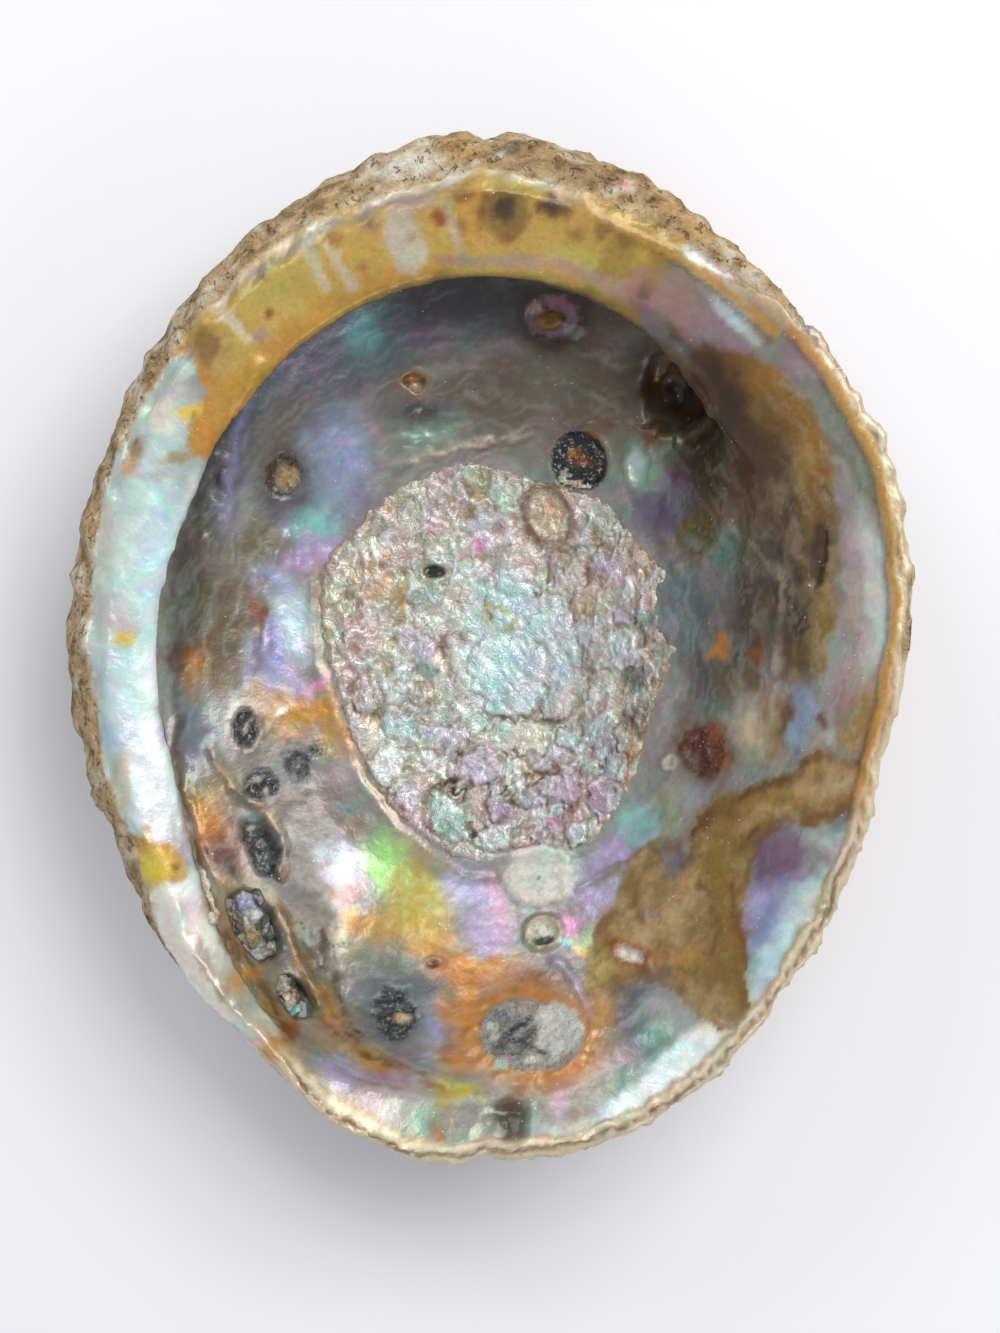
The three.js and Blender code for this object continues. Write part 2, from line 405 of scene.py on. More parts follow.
def radiusByAngle(points, angle):
    px, py = plan["pole"]
    turns = [math.degrees(math.atan2(y - py, x - px)) % 360 for x, y in points]
    lengths = [math.hypot(x - px, y - py) for x, y in points]
    return np.interp(angle, turns, lengths)


# The rough scar where the muscle held on.
scarOutline = rounded([
    (-24, 26), (-20, 31), (-14, 33), (-10, 35), (-5, 36.5), (0, 35.5), (5, 34), (12, 32), (20, 30), (26, 27),
    (28, 22), (32, 18), (36, 14), (34, 10), (33, 5), (38, 0), (36, -5), (33, -13), (31, -20), (29, -28),
    (23, -37), (17, -43), (10, -40), (3, -43), (-3, -44), (-9, -42), (-14, -38), (-20, -32), (-25, -24),
    (-29, -15), (-31, -7), (-33, 0), (-34, 8), (-33, 16), (-29, 21),
], 1, True)

# Pits, blisters and holes of the inside. Heights of the rim and of the middle, in mm.
pits = {
    "pinkBlister": {"at": (13, 65), "half": (5.6, 4.8), "wobble": 0.3, "rim": 0.45, "rimWidth": 1.6,
                    "middle": -0.7, "rough": 0.3},
    "goldEye": {"at": (12, 64.3), "half": (2.4, 1.5), "turn": 15, "rim": 0.3, "rimWidth": 0.5, "middle": 0.6,
                "rough": 0},
    "darkPit": {"at": (18, 36.4), "half": (5.6, 6), "wobble": 0.35, "rim": 0.6, "rimWidth": 0.8,
                "middle": -1.6, "rough": 0.9},
    "tanEye": {"at": (-15, 51.8), "half": (2.1, 2), "rim": 0.35, "rimWidth": 0.9, "middle": -1.5,
               "rough": 0.1},
    "darkEye": {"at": (-14, 46.3), "half": (3.4, 1.6), "rim": -0.1, "rimWidth": 0.9, "middle": -0.4,
                "rough": 0},
    "boreDish": {"at": (-41, 33.5), "half": (3.6, 4.0), "rim": 0.05, "rimWidth": 1.2, "middle": -0.7,
                 "rough": 0.3},
    "slateOval": {"at": (-48.6, -16.8), "half": (2.7, 3.8), "rim": 0.3, "rimWidth": 0.7, "middle": -0.7,
                  "rough": 0.7},
    "smallHole": {"at": (-34.6, -21.6), "half": (1.6, 1.1), "turn": -30, "rim": 0.15, "rimWidth": 0.6,
                  "middle": -0.9, "rough": 0.4},
    "greyPatchA": {"at": (-38.2, -25), "half": (2.5, 3.5), "rim": 0.05, "rimWidth": 0.8, "middle": -0.4,
                   "rough": 0.5},
    "greyPatchB": {"at": (-45.6, -28.4), "half": (3.6, 2.4), "turn": 15, "rim": 0.05, "rimWidth": 0.8,
                   "middle": -0.4, "rough": 0.8},
    "closedPore": {"at": (-45.4, -41.4), "half": (2.4, 5.8), "turn": 33, "wobble": 1.7, "rim": 0,
                   "rimWidth": 1.0, "middle": -1.3, "rough": 1.0},
    "darkPatch": {"at": (-18.8, -74.4), "half": (3.8, 5.4), "turn": 22, "rim": 0.1, "rimWidth": 1.2,
                  "middle": -0.5, "rough": 0.9},
    "tanHole": {"at": (-17.4, -74.8), "half": (1.4, 1.0), "rim": 0.1, "rimWidth": 0.6, "middle": 0.3,
                "rough": 0.2},
    "whiteRing": {"at": (10.9, -57.9), "half": (2.9, 2.6), "wobble": 0.2, "rim": 0.7, "rimWidth": 0.7,
                  "middle": -0.9, "rough": 0.3},
    "bigBlister": {"at": (8.3, -78.8), "half": (10.6, 7.4), "wobble": 0.4, "turn": -8, "rim": 0.6,
                   "rimWidth": 1.8, "middle": 0.5, "rough": 0.5},
    "crack": {"at": (28.2, -62.3), "half": (3.2, 1.5), "turn": -20, "rim": 0.35, "rimWidth": 0.8,
              "middle": -0.6, "rough": 0.5},
    "rustPatch": {"at": (43.0, -21.5), "half": (4.4, 6.0), "turn": 12, "rim": 0.1, "rimWidth": 1.4,
                  "middle": 0.15, "rough": 0.7},
    "tinyHole": {"at": (-11, -64.2), "half": (0.9, 0.6), "rim": 0.2, "rimWidth": 0.5, "middle": -0.9,
                 "rough": 0},
    "tinyRing": {"at": (36.2, -24), "half": (1, 0.8), "rim": 0.4, "rimWidth": 0.5, "middle": -0.3,
                 "rough": 0},
    "smoothDisc": {"at": (10.3, -46.6), "half": (7.2, 6.2), "rim": 0.12, "rimWidth": 1.2, "middle": 0.35,
                   "rough": 0.1},
    "longHollow": {"at": (65.4, 17), "half": (2.4, 6.4), "turn": -6, "rim": 0.3, "rimWidth": 1.4,
                   "middle": -0.9, "rough": 0},
    "brightScoop": {"at": (30, 35.5), "half": (2.2, 4.2), "turn": 8, "rim": 0.35, "rimWidth": 0.9,
                    "middle": -0.5, "rough": 0.1},
}


def pitDistance(site, pit):
    small = min(pit["half"])
    wobble = pit.get("wobble", 1) * min(0.3 * small, 1.1)
    x = site.x + wobble * (site.drift[0] + 1.1 * site.wander[0])
    y = site.y + wobble * (site.drift[1] + 1.1 * site.wander[1])
    return fromOval(x, y, pit["at"], *pit["half"], pit.get("turn", 0))


richer = {"shell": 0.3, "skin": 0.35}


# Brings out the colours of the nacre, which the shine washes out.
def enrich(site, amount, where):
    grey = site.tint.mean(axis=1)[:, None]
    rich = np.clip(grey + (1 + amount) * (site.tint - grey), 0, 1)
    site.tint += where[:, None] * (rich - site.tint)


# How far a point lies from the ragged outline of the scar, in mm.
def scarGap(site):
    return fromOutline(scarOutline, site.x + 0.7 * site.drift[0], site.y + 0.7 * site.drift[1])


zones = {
    "shelf": (42, 46, 240, 246),      # degrees round the shell
    "crust": (45, 51, 244, 250),
    "wideLip": (8, 22),
    "wideLipExtra": 3.4,              # mm, as are the rest
    "shelfDepth": (11, 7),            # below the rim, where the shelf ends
    "shelfDip": 7,                    # how much lower the shelf runs at its upper right end
    "shelfDipAt": (75, 50),           # degrees
    "edgeSoft": (-1.6, -0.4),
    "edgeWidth": 3.2,
    "crustSoft": (-0.3, 0.4),
    "outside": (-6.5, -8),
}


# The zones of the inside that the relief and the colours share.
def findZones(site):
    site.prepare()
    inside = site.inside.astype(float)
    site.hasShelf = plateau(site.seenAngle, *zones["shelf"])
    pastEdge = site.seenRadius - byAngle(shelfEdge, site.seenAngle)
    dip = zones["shelfDip"] * smoothStep(*zones["shelfDipAt"], site.seenAngle)
    high = smoothStep(*zones["shelfDepth"], site.rimHeight - site.z - dip)
    site.onShelf = inside * site.hasShelf * smoothStep(*zones["edgeSoft"], pastEdge) * high
    site.byEdge = inside * site.hasShelf * high * np.exp(-((pastEdge - 0.5) / zones["edgeWidth"]) ** 2)
    site.inBowl = inside * (1 - site.onShelf)
    crusted = plateau(site.seenAngle, *zones["crust"])
    pastNacre = site.seenRadius - radiusByAngle(crustLine, site.seenAngle) + 0.5 * site.drift[0]
    wide = smoothStep(*zones["wideLip"], site.seenAngle) * (1 - crusted)
    site.pastNacre = np.maximum(pastNacre, 0)
    free = smoothStep(0, -1.2, site.fromRim + 1 + zones["wideLipExtra"] * wide)
    outside = smoothStep(*zones["outside"], site.fromRim)
    behind = crusted * smoothStep(*zones["crustSoft"], pastNacre) * (1 - inside)
    site.crust = np.maximum(behind, (1 - crusted) * free)
    site.crust = np.maximum(site.crust, outside)
    site.nacreGap = np.where(crusted > 0.5, -pastNacre, site.lipGap)
    site.nacre = 1 - site.crust
    site.fromScar = scarGap(site)


shell, cadTree = makeBlank()
print("blank", len(shell.data.vertices), "points")
makeFine(shell, cadTree)
triangleCount = sum(len(face.vertices) - 2 for face in shell.data.polygons)
print("fine", len(shell.data.vertices), "points", triangleCount, "triangles")

# Relief of the shell, in mm along the normal.

ridges = [  # height, half width, points
    (0.5, 0.9, [(-22, 31), (-18, 34), (-13, 36.5), (-6, 38.5), (1, 39.6), (9, 40.8), (15, 43), (21, 44.2),
                (27, 43.4), (31, 42.6), (35, 44.5), (37, 47)]),
    (0.35, 0.6, [(-19, 39.5), (-15, 39), (-12, 38.2), (-6, 40), (2, 41), (9, 42.3)]),
    (0.35, 0.5, [(-17, 36), (-12, 35.5), (-8, 37), (-2, 38)]),
    (0.3, 0.7, [(-20, 42.5), (-14, 41.2), (-8, 41.8), (-1, 43.4), (6, 45)]),
    (0.6, 1.3, [(-57, -18), (-55, -25), (-50, -29.5), (-45, -34), (-42, -38), (-41, -42), (-41.5, -48)]),
    (0.5, 1.2, [(-44, -50), (-41, -56), (-39, -62), (-36.5, -68), (-33, -74), (-28, -79), (-20, -83),
                (-12, -87), (-4, -89)]),
    (0.5, 1.1, [(-64, -12), (-63, -22), (-61, -32), (-59, -42), (-56.5, -50), (-53.5, -57), (-50, -62),
                (-46, -68), (-43, -74), (-40, -78)]),
    (-0.6, 0.8, [(-61, -20), (-59.6, -30), (-57.6, -40), (-55, -48)]),
    (0.35, 0.9, [(-38, -52.5), (-34, -56), (-31.6, -60), (-30, -66), (-29.4, -72), (-27, -77)]),
    (0.3, 0.8, [(-39, -56), (-35.4, -60), (-33.6, -65), (-32.8, -70), (-30.4, -75)]),
    (-0.5, 0.9, [(-37.6, -57), (-34.6, -61.6), (-32.6, -66)]),
    (0.25, 0.8, [(-33, -53), (-30.4, -57.6), (-29, -62)]),
    (0.5, 0.8, [(12, -62), (15, -65), (18, -69), (20, -73), (20.8, -77), (19.5, -81), (16, -85), (10, -88)]),
    (-0.3, 0.7, [(-33, 19), (-34.3, 10), (-34, 0), (-31.5, -9), (-28, -19), (-23, -29), (-16, -37), (-9, -43),
                 (-2, -46), (4, -45)]),
    (0.18, 0.8, [(-34.5, 19), (-35.8, 10), (-35.5, 0), (-33, -9), (-29.4, -19.5), (-24.4, -29.5),
                 (-17, -38.5), (-9.5, -44.5), (-2, -47.6), (4, -46.6)]),
    (0.4, 0.6, [(17, -49), (22, -47.5), (27, -44), (31, -41)]),
    (0.6, 1.6, [(-45, 58), (-49, 50), (-51.5, 40), (-53, 30), (-53.5, 24)]),
    (-0.5, 1.8, [(-48, 52), (-53, 42), (-56, 32), (-58, 20)]),
    (0.3, 1.1, [(57.5, 15), (59, 8), (57.5, 2), (57.5, -6)]),
    (0.4, 0.9, [(36, 14), (41, 16.5), (46, 20), (49, 25)]),
    (0.4, 0.7, [(50, 16), (53, 20), (54, 26), (52, 31)]),
    (0.6, 0.8, [(40, 56), (43.5, 52), (45, 48), (44.2, 44), (41, 41.5), (36, 41), (32, 42)]),
    (0.5, 0.7, [(38, 60), (36, 55), (33, 51), (31, 47), (30, 44)]),
    (0.5, 0.7, [(44, 45), (41, 44), (38.5, 42.5), (37, 39.5)]),
    (0.5, 0.6, [(46, 44), (44.6, 41), (42, 39.5), (39.5, 40)]),
    (-1.2, 3.5, [(4, -92), (5, -97), (1, -103)]),
    (0.2, 1.6, [(-2, -90), (-3, -96), (-6, -101)]),
    (0.2, 1.6, [(9, -90), (9, -96), (8, -102)]),
    (0.35, 1.0, [(-40, 24), (-43, 18), (-44.5, 12), (-43.5, 6), (-45.5, 0), (-44, -6)]),
    (0.25, 0.9, [(-30, 44), (-34, 36), (-37.5, 28), (-38.5, 20), (-37.5, 12)]),
]


lineEnds = (0, 0.08, 0.92, 1)   # parts of a ridge's or a line's length over which it fades in and out
innerRelief = {
    "waves": [(0.3, 21, 9.1), (0.1, 6, 2.2), (0.07, 3.2, 5.9)],   # height, size, offset
    "roughSize": 1.9,
    "scarBed": 0.8,           # how deep the scar's skin is let in
}


def insideRelief(site):
    rough = cloud(site, innerRelief["roughSize"], 2, 3.3)
    lift = sum(height * cloud(site, size, 2, offset) for height, size, offset in innerRelief["waves"])
    ridgeX = site.x + 1.1 * site.wander[0] + 0.3 * site.drift[0]
    ridgeY = site.y + 1.1 * site.wander[1] + 0.3 * site.drift[1]
    uneven = 1 + 0.15 * site.drift[0] + 0.6 * site.wander[1]
    for height, halfWidth, points in ridges:
        gap, along = fromLine(rounded(points), ridgeX, ridgeY)
        lift += height * plateau(along, *lineEnds) * np.exp(-(gap / halfWidth) ** 2) * uneven
    for pit in pits.values():
        gap = pitDistance(site, pit)
        inner = smoothStep(0.4, -0.9, gap)
        lift = lift * (1 - 0.7 * inner)
        lift += pit["rim"] * np.exp(-((gap - 0.3) / pit["rimWidth"]) ** 2) * (1 + 0.6 * site.drift[1])
        lift += inner * (pit["middle"] + pit["rough"] * rough)
    lift -= innerRelief["scarBed"] * smoothStep(-0.6, -2.2, site.fromScar) * site.inBowl
    return lift


outerRelief = {
    "spire": (45, 60),        # the middle of the growth rings
    "ringStep": 0.95,
    "ringHeight": 0.35,
    "lumpSize": 9,
    "lumpHeight": 1.3,
    "pitSize": 5,
    "pitDepth": 0.5,
}


def outsideRelief(site):
    spireX, spireY = outerRelief["spire"]
    rings = np.hypot(site.at[:, 0] - spireX, site.at[:, 1] - spireY)
    growth = np.sin(rings / outerRelief["ringStep"] + 2.5 * cloud(site, 14, 2, 1.7))
    lumps = cloud(site, outerRelief["lumpSize"], 5, 6.6)
    pitted = creases(site, outerRelief["pitSize"], 3, 7.7)
    lift = outerRelief["lumpHeight"] * lumps + outerRelief["ringHeight"] * growth
    return lift - outerRelief["pitDepth"] * pitted * (pitted > 0)


lipLook = {
    "layer": 0.95,            # mm between the edges of two layers
    "height": 0.28,
    "reach": (5, 2.4),        # mm in from the lip, over which the layers fade out
    "scallops": [(0.75, 4.5, 3, 1.1), (0.5, 12, 2, 3.9)],   # height, size, octaves, offset
    "scallopReach": 3.0,
}


# The free lip is built of thin layers that end in wavy steps.
def lipRelief(site):
    wavy = site.lipGap + 0.5 * cloud(site, 6, 2, 8.1) + 0.3 * cloud(site, 1.8, 2, 2.9)
    steps = lipLook["height"] * (np.abs((wavy / lipLook["layer"]) % 1 - 0.5) * 2 - 0.5)
    return steps * smoothStep(*lipLook["reach"], site.lipGap)


# How far the rim, the wall below it and the edge of the shelf lie out from the blank, in mm by angle.
rimMoves = [
    (0, 0.8), (20, 1), (33, 1), (50, 2), (62, 1), (75, 1.2), (88, 2.8), (100, 1), (112, 0), (200, 0),
    (213, -0.6), (222, 1.2), (230, 1), (239, 0.7), (243, 0.9), (247, 2.8), (250, 3.8), (255, 3.6), (262, 4),
    (268, 2), (274, 0.5), (280, 1.5), (290, 1.8), (320, 1.5), (330, 1), (345, -0.5), (360, 0.8),
]
wallMoves = [(0, 0), (213, 0), (222, 1.4), (230, 1.8), (240, 1.6), (247, 0), (360, 0)]
crustSqueeze = [
    (0, 0), (55, 0), (62, 0.1), (75, 0.1), (100, 0), (112, 0.2), (120, 0.25), (152, 0.3), (165, 0.3),
    (178, 0.15), (192, 0.3), (213, 0.15), (222, 0), (360, 0),
]
edgeMoves = [
    (0, 0), (40, 0), (60, 0.5), (80, 0), (150, 0), (165, 1.2), (178, 2), (192, 1.4), (205, 0), (360, 0),
]


def applyRelief(site):
    keepFlat = smoothStep(0.4, 3.0, site.z)
    awayFromRim = smoothStep(0.5, 4.0, np.abs(site.fromRim))
    inner = insideRelief(site) * awayFromRim + lipRelief(site) * (1 - site.hasShelf)
    outer = outsideRelief(site) * keepFlat * smoothStep(0.5, 3.0, np.abs(site.fromRim))
    lift = np.where(site.inside, inner, outer)
    points = site.row + site.normal * lift[:, None] * mm
    lip = np.exp(-(site.fromRim / lipLook["scallopReach"]) ** 2)
    scallop = sum(height * cloud(site, size, octaves, offset)
                  for height, size, octaves, offset in lipLook["scallops"])
    out = np.column_stack([np.cos(np.radians(site.angle)), np.sin(np.radians(site.angle))])
    fade = np.where(site.inside, smoothStep(8, 0.5, site.fromRim), smoothStep(20, 4, -site.fromRim))
    wall = np.where(site.inside, 0, smoothStep(0.5, 4, -site.fromRim) * keepFlat)
    shift = fade * byAngle(rimMoves, site.seenAngle) + wall * byAngle(wallMoves, site.seenAngle)
    shift += site.byEdge * byAngle(edgeMoves, site.seenAngle)
    shift -= np.where(site.inside, 0, keepFlat * site.pastNacre * byAngle(crustSqueeze, site.seenAngle))
    points[:, :2] += out * ((lip * scallop + shift) * mm)[:, None]
    points[:, 2] = np.maximum(points[:, 2], 0)
    setPoints(site.mesh, points)


shellSite = Site(shell.data)
findInside(shellSite, cadTree)
shellLevel = shell.data.copy()     # from before the relief, for the scar's skin to be cut from

# The muscle scar: its own crumpled skin, let into the floor of the bowl.

scarLook = {
    "reach": 2.2,             # mm past the outline at which the skin is cut off, sunk in the floor
    "below": 40,              # keeps the skin off the shelf
    "facing": 0.3,
    "sunk": -1.1,
    "skin": 1.5 * mm,
    "crackDepth": 0.6,
    "middle": (4, -3, 14),    # the smooth middle: x, y, size
    "lower": (-13, -20),      # y from which the skin is cracked into flakes
    "flake": 6.4,
    "fineFlake": 3.4,
    "hole": ((-10.9, 14.3), 1.9, 1.3),
    "oval": ((12, 25.8), 4.4, 6, 25),
}

scarFlakes = [  # colour, x, y, half width, half length, turn, height, crack
    ("aqua", -12.6, 12, 4.8, 5.4, 10, 0.35, 0.3), ("cyanWhite", 6, 9, 8, 5, -35, 0.3, 0.3),
    ("cyanWhite", 4, -7, 7.6, 8.4, 32, 0.5, 0.6), ("pink", 14.6, -12, 4.2, 3.4, 20, 0.35, 0.5),
    ("paleGrey", 16, 13.4, 4, 4.4, 20, 0.3, 0.5), ("sand", 19.6, 7.8, 3.4, 3, 0, 0.35, 0.6),
    ("lilac", 23.6, 16, 4, 3.4, 30, 0.3, 0.4), ("cyanWhite", 25, -1.6, 5, 3.8, 10, 0.4, 0.5),
    ("lilac", 27.4, 6, 3, 2.6, 0, 0.3, 0.5), ("cyanWhite", -18.4, -8.6, 3.6, 4.6, 10, 0.4, 0.5),
    ("aqua", -19, -16.6, 3.6, 3.4, 40, 0.4, 0.5), ("lavender", -10.4, -18.4, 5, 3.2, -12, 0.35, 0.5),
    ("cream", 5, -18.8, 8.4, 3.2, 8, 0.5, 0.6), ("cyanWhite", -20, -25, 4.2, 4, 0, 0.6, 0.8),
    ("lilac", -17, -31.6, 4, 3.6, -30, 0.4, 0.7), ("aqua", -8.4, -34, 4, 6.2, 22, 0.55, 0.9),
    ("lilac", -2.4, -24.6, 4.6, 4.4, 0, 0.5, 0.9), ("sand", -3, -32.6, 1.8, 4.4, 4, 0.4, 0.8),
    ("lavender", 2.2, -31.4, 2.8, 3.6, 10, 0.45, 0.8), ("cyanWhite", 0.2, -38.4, 3.2, 3.6, 0, 0.45, 0.7),
    ("lavender", 8.6, -30.4, 3, 3, 0, 0.45, 0.8), ("lilac", 14.6, -28.6, 4.6, 4.2, 0, 0.55, 0.9),
    ("aqua", 21.4, -25.6, 2.6, 2.2, 0, 0.4, 0.6), ("lilac", 23.4, -31.6, 4.4, 3.8, 30, 0.45, 0.7),
    ("cyanWhite", 18, -37, 4, 2.8, 20, 0.45, 0.6), ("lavender", 22, -18, 3.8, 3.6, 0, 0.4, 0.5),
    ("aqua", 16.6, -19.6, 3.2, 2.6, 0, 0.4, 0.5), ("sand", 7, -39, 3, 2.4, 0, 0.35, 0.7),
    ("paleGrey", -26, -1, 4, 4, 0, 0.25, 0.3), ("lavender", -14.6, 0.6, 4.6, 3.6, -20, 0.3, 0.4),
    ("cyanWhite", 12.6, 2.6, 4.6, 4, -30, 0.3, 0.3), ("lavender", 20, 1, 3.4, 4.4, 20, 0.3, 0.4),
    ("sand", -23.6, 12, 4, 5, 0, 0.25, 0.3), ("lavender", 11, -22.6, 3.4, 2.2, 0, 0.35, 0.6),
    ("cyanWhite", -11.6, -24, 2.8, 2.2, 20, 0.35, 0.7), ("paleGrey", 28.6, -18, 2.6, 4, 0, 0.3, 0.7),
]


def makeScarSkin(level):
    skin = bpy.data.objects.new("muscleScar", level)
    bpy.context.scene.collection.objects.link(skin)
    site = Site(level)
    near = fromOutline(scarOutline, site.x, site.y) < scarLook["reach"]
    near &= (site.z < scarLook["below"]) & (site.normal[:, 2] > scarLook["facing"])
    outer = np.array([not all(near[v] for v in face.vertices) for face in level.polygons])
    selectFaces(skin, outer)
    bpy.ops.mesh.delete(type="FACE")
    bpy.ops.mesh.select_all(action="SELECT")
    bpy.ops.mesh.subdivide(number_cuts=1)
    bpy.ops.object.mode_set(mode="OBJECT")
    return skin


def scarRelief(site):
    gap = site.fromScar
    middleX, middleY, middleSize = scarLook["middle"]
    centre = np.exp(-((site.x - middleX) / middleSize) ** 2 - ((site.y - middleY) / middleSize) ** 2)
    lower = smoothStep(*scarLook["lower"], site.y)
    ribbed = np.clip(1 - centre - lower, 0, 1)
    ripple = creases(site, 4.6, 2, 1.3, (1, 1.7), 12)
    striae = cloud(site, 2.2, 2, 2.7, (1, 4.5), 38)
    bulge = cloud(site, 7, 2, 6.1)
    fold = np.exp(-(cloud(site, 4.6, 2, 9.7, (1, 1.5), -15) / 0.12) ** 2)
    fineFold = np.exp(-(cloud(site, 3.0, 1, 14.2, (1, 1.3), 20) / 0.12) ** 2)
    crackGap, own = flakes(site, scarLook["flake"], 3.7, 0.3)
    fineGap, fineOwn = flakes(site, scarLook["fineFlake"], 8.3, 0.3)
    opened = np.exp(-(crackGap / 0.35) ** 2)
    lift = ribbed * (0.4 * ripple + 0.35 * fold + 0.14 * fineFold) + centre * 0.5 * striae + 0.5 * bulge
    lift += lower * (0.3 * fold + 0.12 * fineFold) + 0.1 * fold * centre
    lift += 0.4 * (own[:, 0] - 0.5) * smoothStep(0, 0.9, crackGap) * (0.3 + 0.7 * lower)
    lift += 0.18 * (fineOwn[:, 0] - 0.5) * smoothStep(0, 0.7, fineGap)
    crack = opened * (0.25 + 0.65 * lower + 0.25 * ribbed) * (1 - 0.8 * centre)
    site.flakePick = own[:, 1]
    site.finePick = fineOwn[:, 1]
    site.flakeShade = np.zeros((len(gap), 3))
    site.flakeMask = np.zeros(len(gap))
    flakeX = site.x + 1.2 * site.drift[0] + 2.4 * site.wander[0]
    flakeY = site.y + 1.2 * site.drift[1] + 2.4 * site.wander[1]
    for name, x, y, halfWidth, halfLength, turn, height, depth in scarFlakes:
        far = fromOval(flakeX, flakeY, (x, y), halfWidth, halfLength, turn)
        within = smoothStep(0.5, -0.9, far)
        crack = crack * (1 - 0.7 * within) + depth * 0.8 * np.exp(-((far - 0.25) / 0.34) ** 2)
        lift = lift * (1 - 0.25 * within) + height * within * (1 + 0.12 * np.clip(-far, 0, 3))
        site.flakeShade += within[:, None] * (paint[name] - site.flakeShade)
        site.flakeMask += within * (1 - site.flakeMask)
    hole = smoothStep(0.35, -0.25, fromOval(site.x + 0.3 * site.drift[0], site.y, *scarLook["hole"]))
    crack = np.clip(crack, 0, 1.2) * np.clip(0.75 + 0.9 * site.wander[1], 0.15, 1)
    lift -= scarLook["crackDepth"] * crack
    lift = 0.9 * np.clip(lift, -0.9, 1.6)
    oval = fromOval(site.x + 0.4 * site.drift[0], site.y + 0.4 * site.drift[1], *scarLook["oval"])
    lift += 0.5 * np.exp(-((oval - 0.2) / 0.7) ** 2) - 0.3 * smoothStep(0, -1.5, oval)
    rise = smoothStep(1.2, -0.8, gap)
    lift = scarLook["sunk"] + (lift - scarLook["sunk"] + 0.15) * rise - 1.1 * hole
    site.ripple, site.striae, site.crack, site.hole = ripple * ribbed, striae * centre, crack, hole
    site.fold = fold * (1 - 0.6 * centre)
    site.fineFold = fineFold
    site.oval = oval
    return lift


# Colours, laid on point by point.

palette = {
    "mint": (205, 224, 216), "cyanWhite": (206, 230, 232), "white": (244, 248, 246), "cream": (226, 216, 190),
    "paleGrey": (192, 194, 188), "grey": (142, 142, 136), "slate": (84, 90, 94), "charcoal": (36, 40, 44),
    "mustard": (182, 150, 76), "ochre": (188, 140, 60), "honey": (182, 132, 52), "lemon": (218, 190, 72),
    "oliveGold": (132, 104, 42), "olive": (96, 80, 44), "darkOlive": (60, 50, 30), "tan": (156, 128, 88),
    "sand": (200, 174, 134), "brown": (98, 62, 26), "darkBrown": (50, 31, 17), "blackBrown": (28, 19, 13),
    "bronze": (122, 84, 30), "gold": (150, 110, 44), "goldTan": (168, 134, 78), "dustyRose": (158, 124, 116),
    "rust": (134, 68, 26), "orange": (190, 128, 62), "redBrown": (84, 38, 18), "mauve": (152, 130, 136),
    "plum": (110, 84, 106), "magenta": (152, 86, 120), "pink": (222, 166, 196), "rose": (182, 142, 146),
    "lilac": (190, 172, 212), "lavender": (172, 172, 206), "violetGrey": (102, 98, 112),
    "blueGrey": (146, 160, 178), "taupe": (106, 93, 80), "greyGreen": (126, 134, 118),
    "seaGreen": (122, 170, 150), "teal": (88, 128, 124), "aqua": (150, 214, 206), "leaf": (158, 204, 134),
    "goldGreen": (180, 170, 90), "deepShade": (46, 44, 48), "chalk": (226, 222, 208), "foil": (216, 212, 200),
    "coral": (214, 104, 106),
}
paint = {name: linear(colour) for name, colour in palette.items()}


def lay(site, weight, colour, stained=0.0):
    site.tint += weight[:, None] * (paint[colour] - site.tint)
    site.stain += weight * (stained - site.stain)


# Soft-edged ovals: colour, x, y, half width, half length, turn, strength.
def laySoft(site, rows, where, stained=0.0):
    for colour, x, y, halfWidth, halfLength, turn, strength in rows:
        c, s = math.cos(math.radians(turn)), math.sin(math.radians(turn))
        u = ((site.softX - x) * c + (site.softY - y) * s) / halfWidth
        v = (-(site.softX - x) * s + (site.softY - y) * c) / halfLength
        lay(site, where * strength * np.exp(-0.9 * (u * u + v * v) ** 1.6), colour, stained)


# Ovals with a firm, ragged edge: colour, x, y, half width, half length, turn, strength.
def layFirm(site, rows, where, stained=0.0, edge=0.35):
    for colour, x, y, halfWidth, halfLength, turn, strength in rows:
        ragged = min(0.5 * min(halfWidth, halfLength), 1.0)
        raggedX = site.x + ragged * (site.drift[0] + site.wander[0])
        raggedY = site.y + ragged * (site.drift[1] + site.wander[1])
        gap = fromOval(raggedX, raggedY, (x, y), halfWidth, halfLength, turn)
        lay(site, where * strength * smoothStep(edge, -edge, gap), colour, stained)


# Lines: colour, half width, strength, points.
def layLines(site, rows, where, stained=0.0):
    for colour, halfWidth, strength, points in rows:
        gap, along = fromLine(rounded(points), site.x + 0.9 * site.drift[0], site.y + 0.9 * site.drift[1])
        fade = 0.35 + 0.65 * plateau(along, *lineEnds)
        uneven = np.clip(0.8 + 0.7 * site.wander[1] + 0.5 * site.drift[0], 0.2, 1)
        lay(site, where * strength * fade * uneven * np.exp(-(gap / halfWidth) ** 2), colour, stained)


# Bands whose colour and width run from point to point: strength, softness, rows of colour, x, y, half width.
def layBands(site, bands, where, stained=0.0):
    for strength, soft, rows in bands:
        points = [(x, y) for _, x, y, _ in rows]
        gap, along = fromLine(points, site.firmX, site.firmY)
        steps = [math.dist(a, b) for a, b in zip(points, points[1:])]
        places = np.concatenate([[0], np.cumsum(steps)]) / sum(steps)
        width = np.interp(along, places, [row[3] for row in rows])
        shades = np.array([paint[row[0]] for row in rows])
        shade = np.column_stack([np.interp(along, places, shades[:, axis]) for axis in range(3)])
        weight = where * strength * smoothStep(1 + soft, 1 - soft, gap / width)
        site.tint += weight[:, None] * (shade - site.tint)
        site.stain += weight * (stained - site.stain)


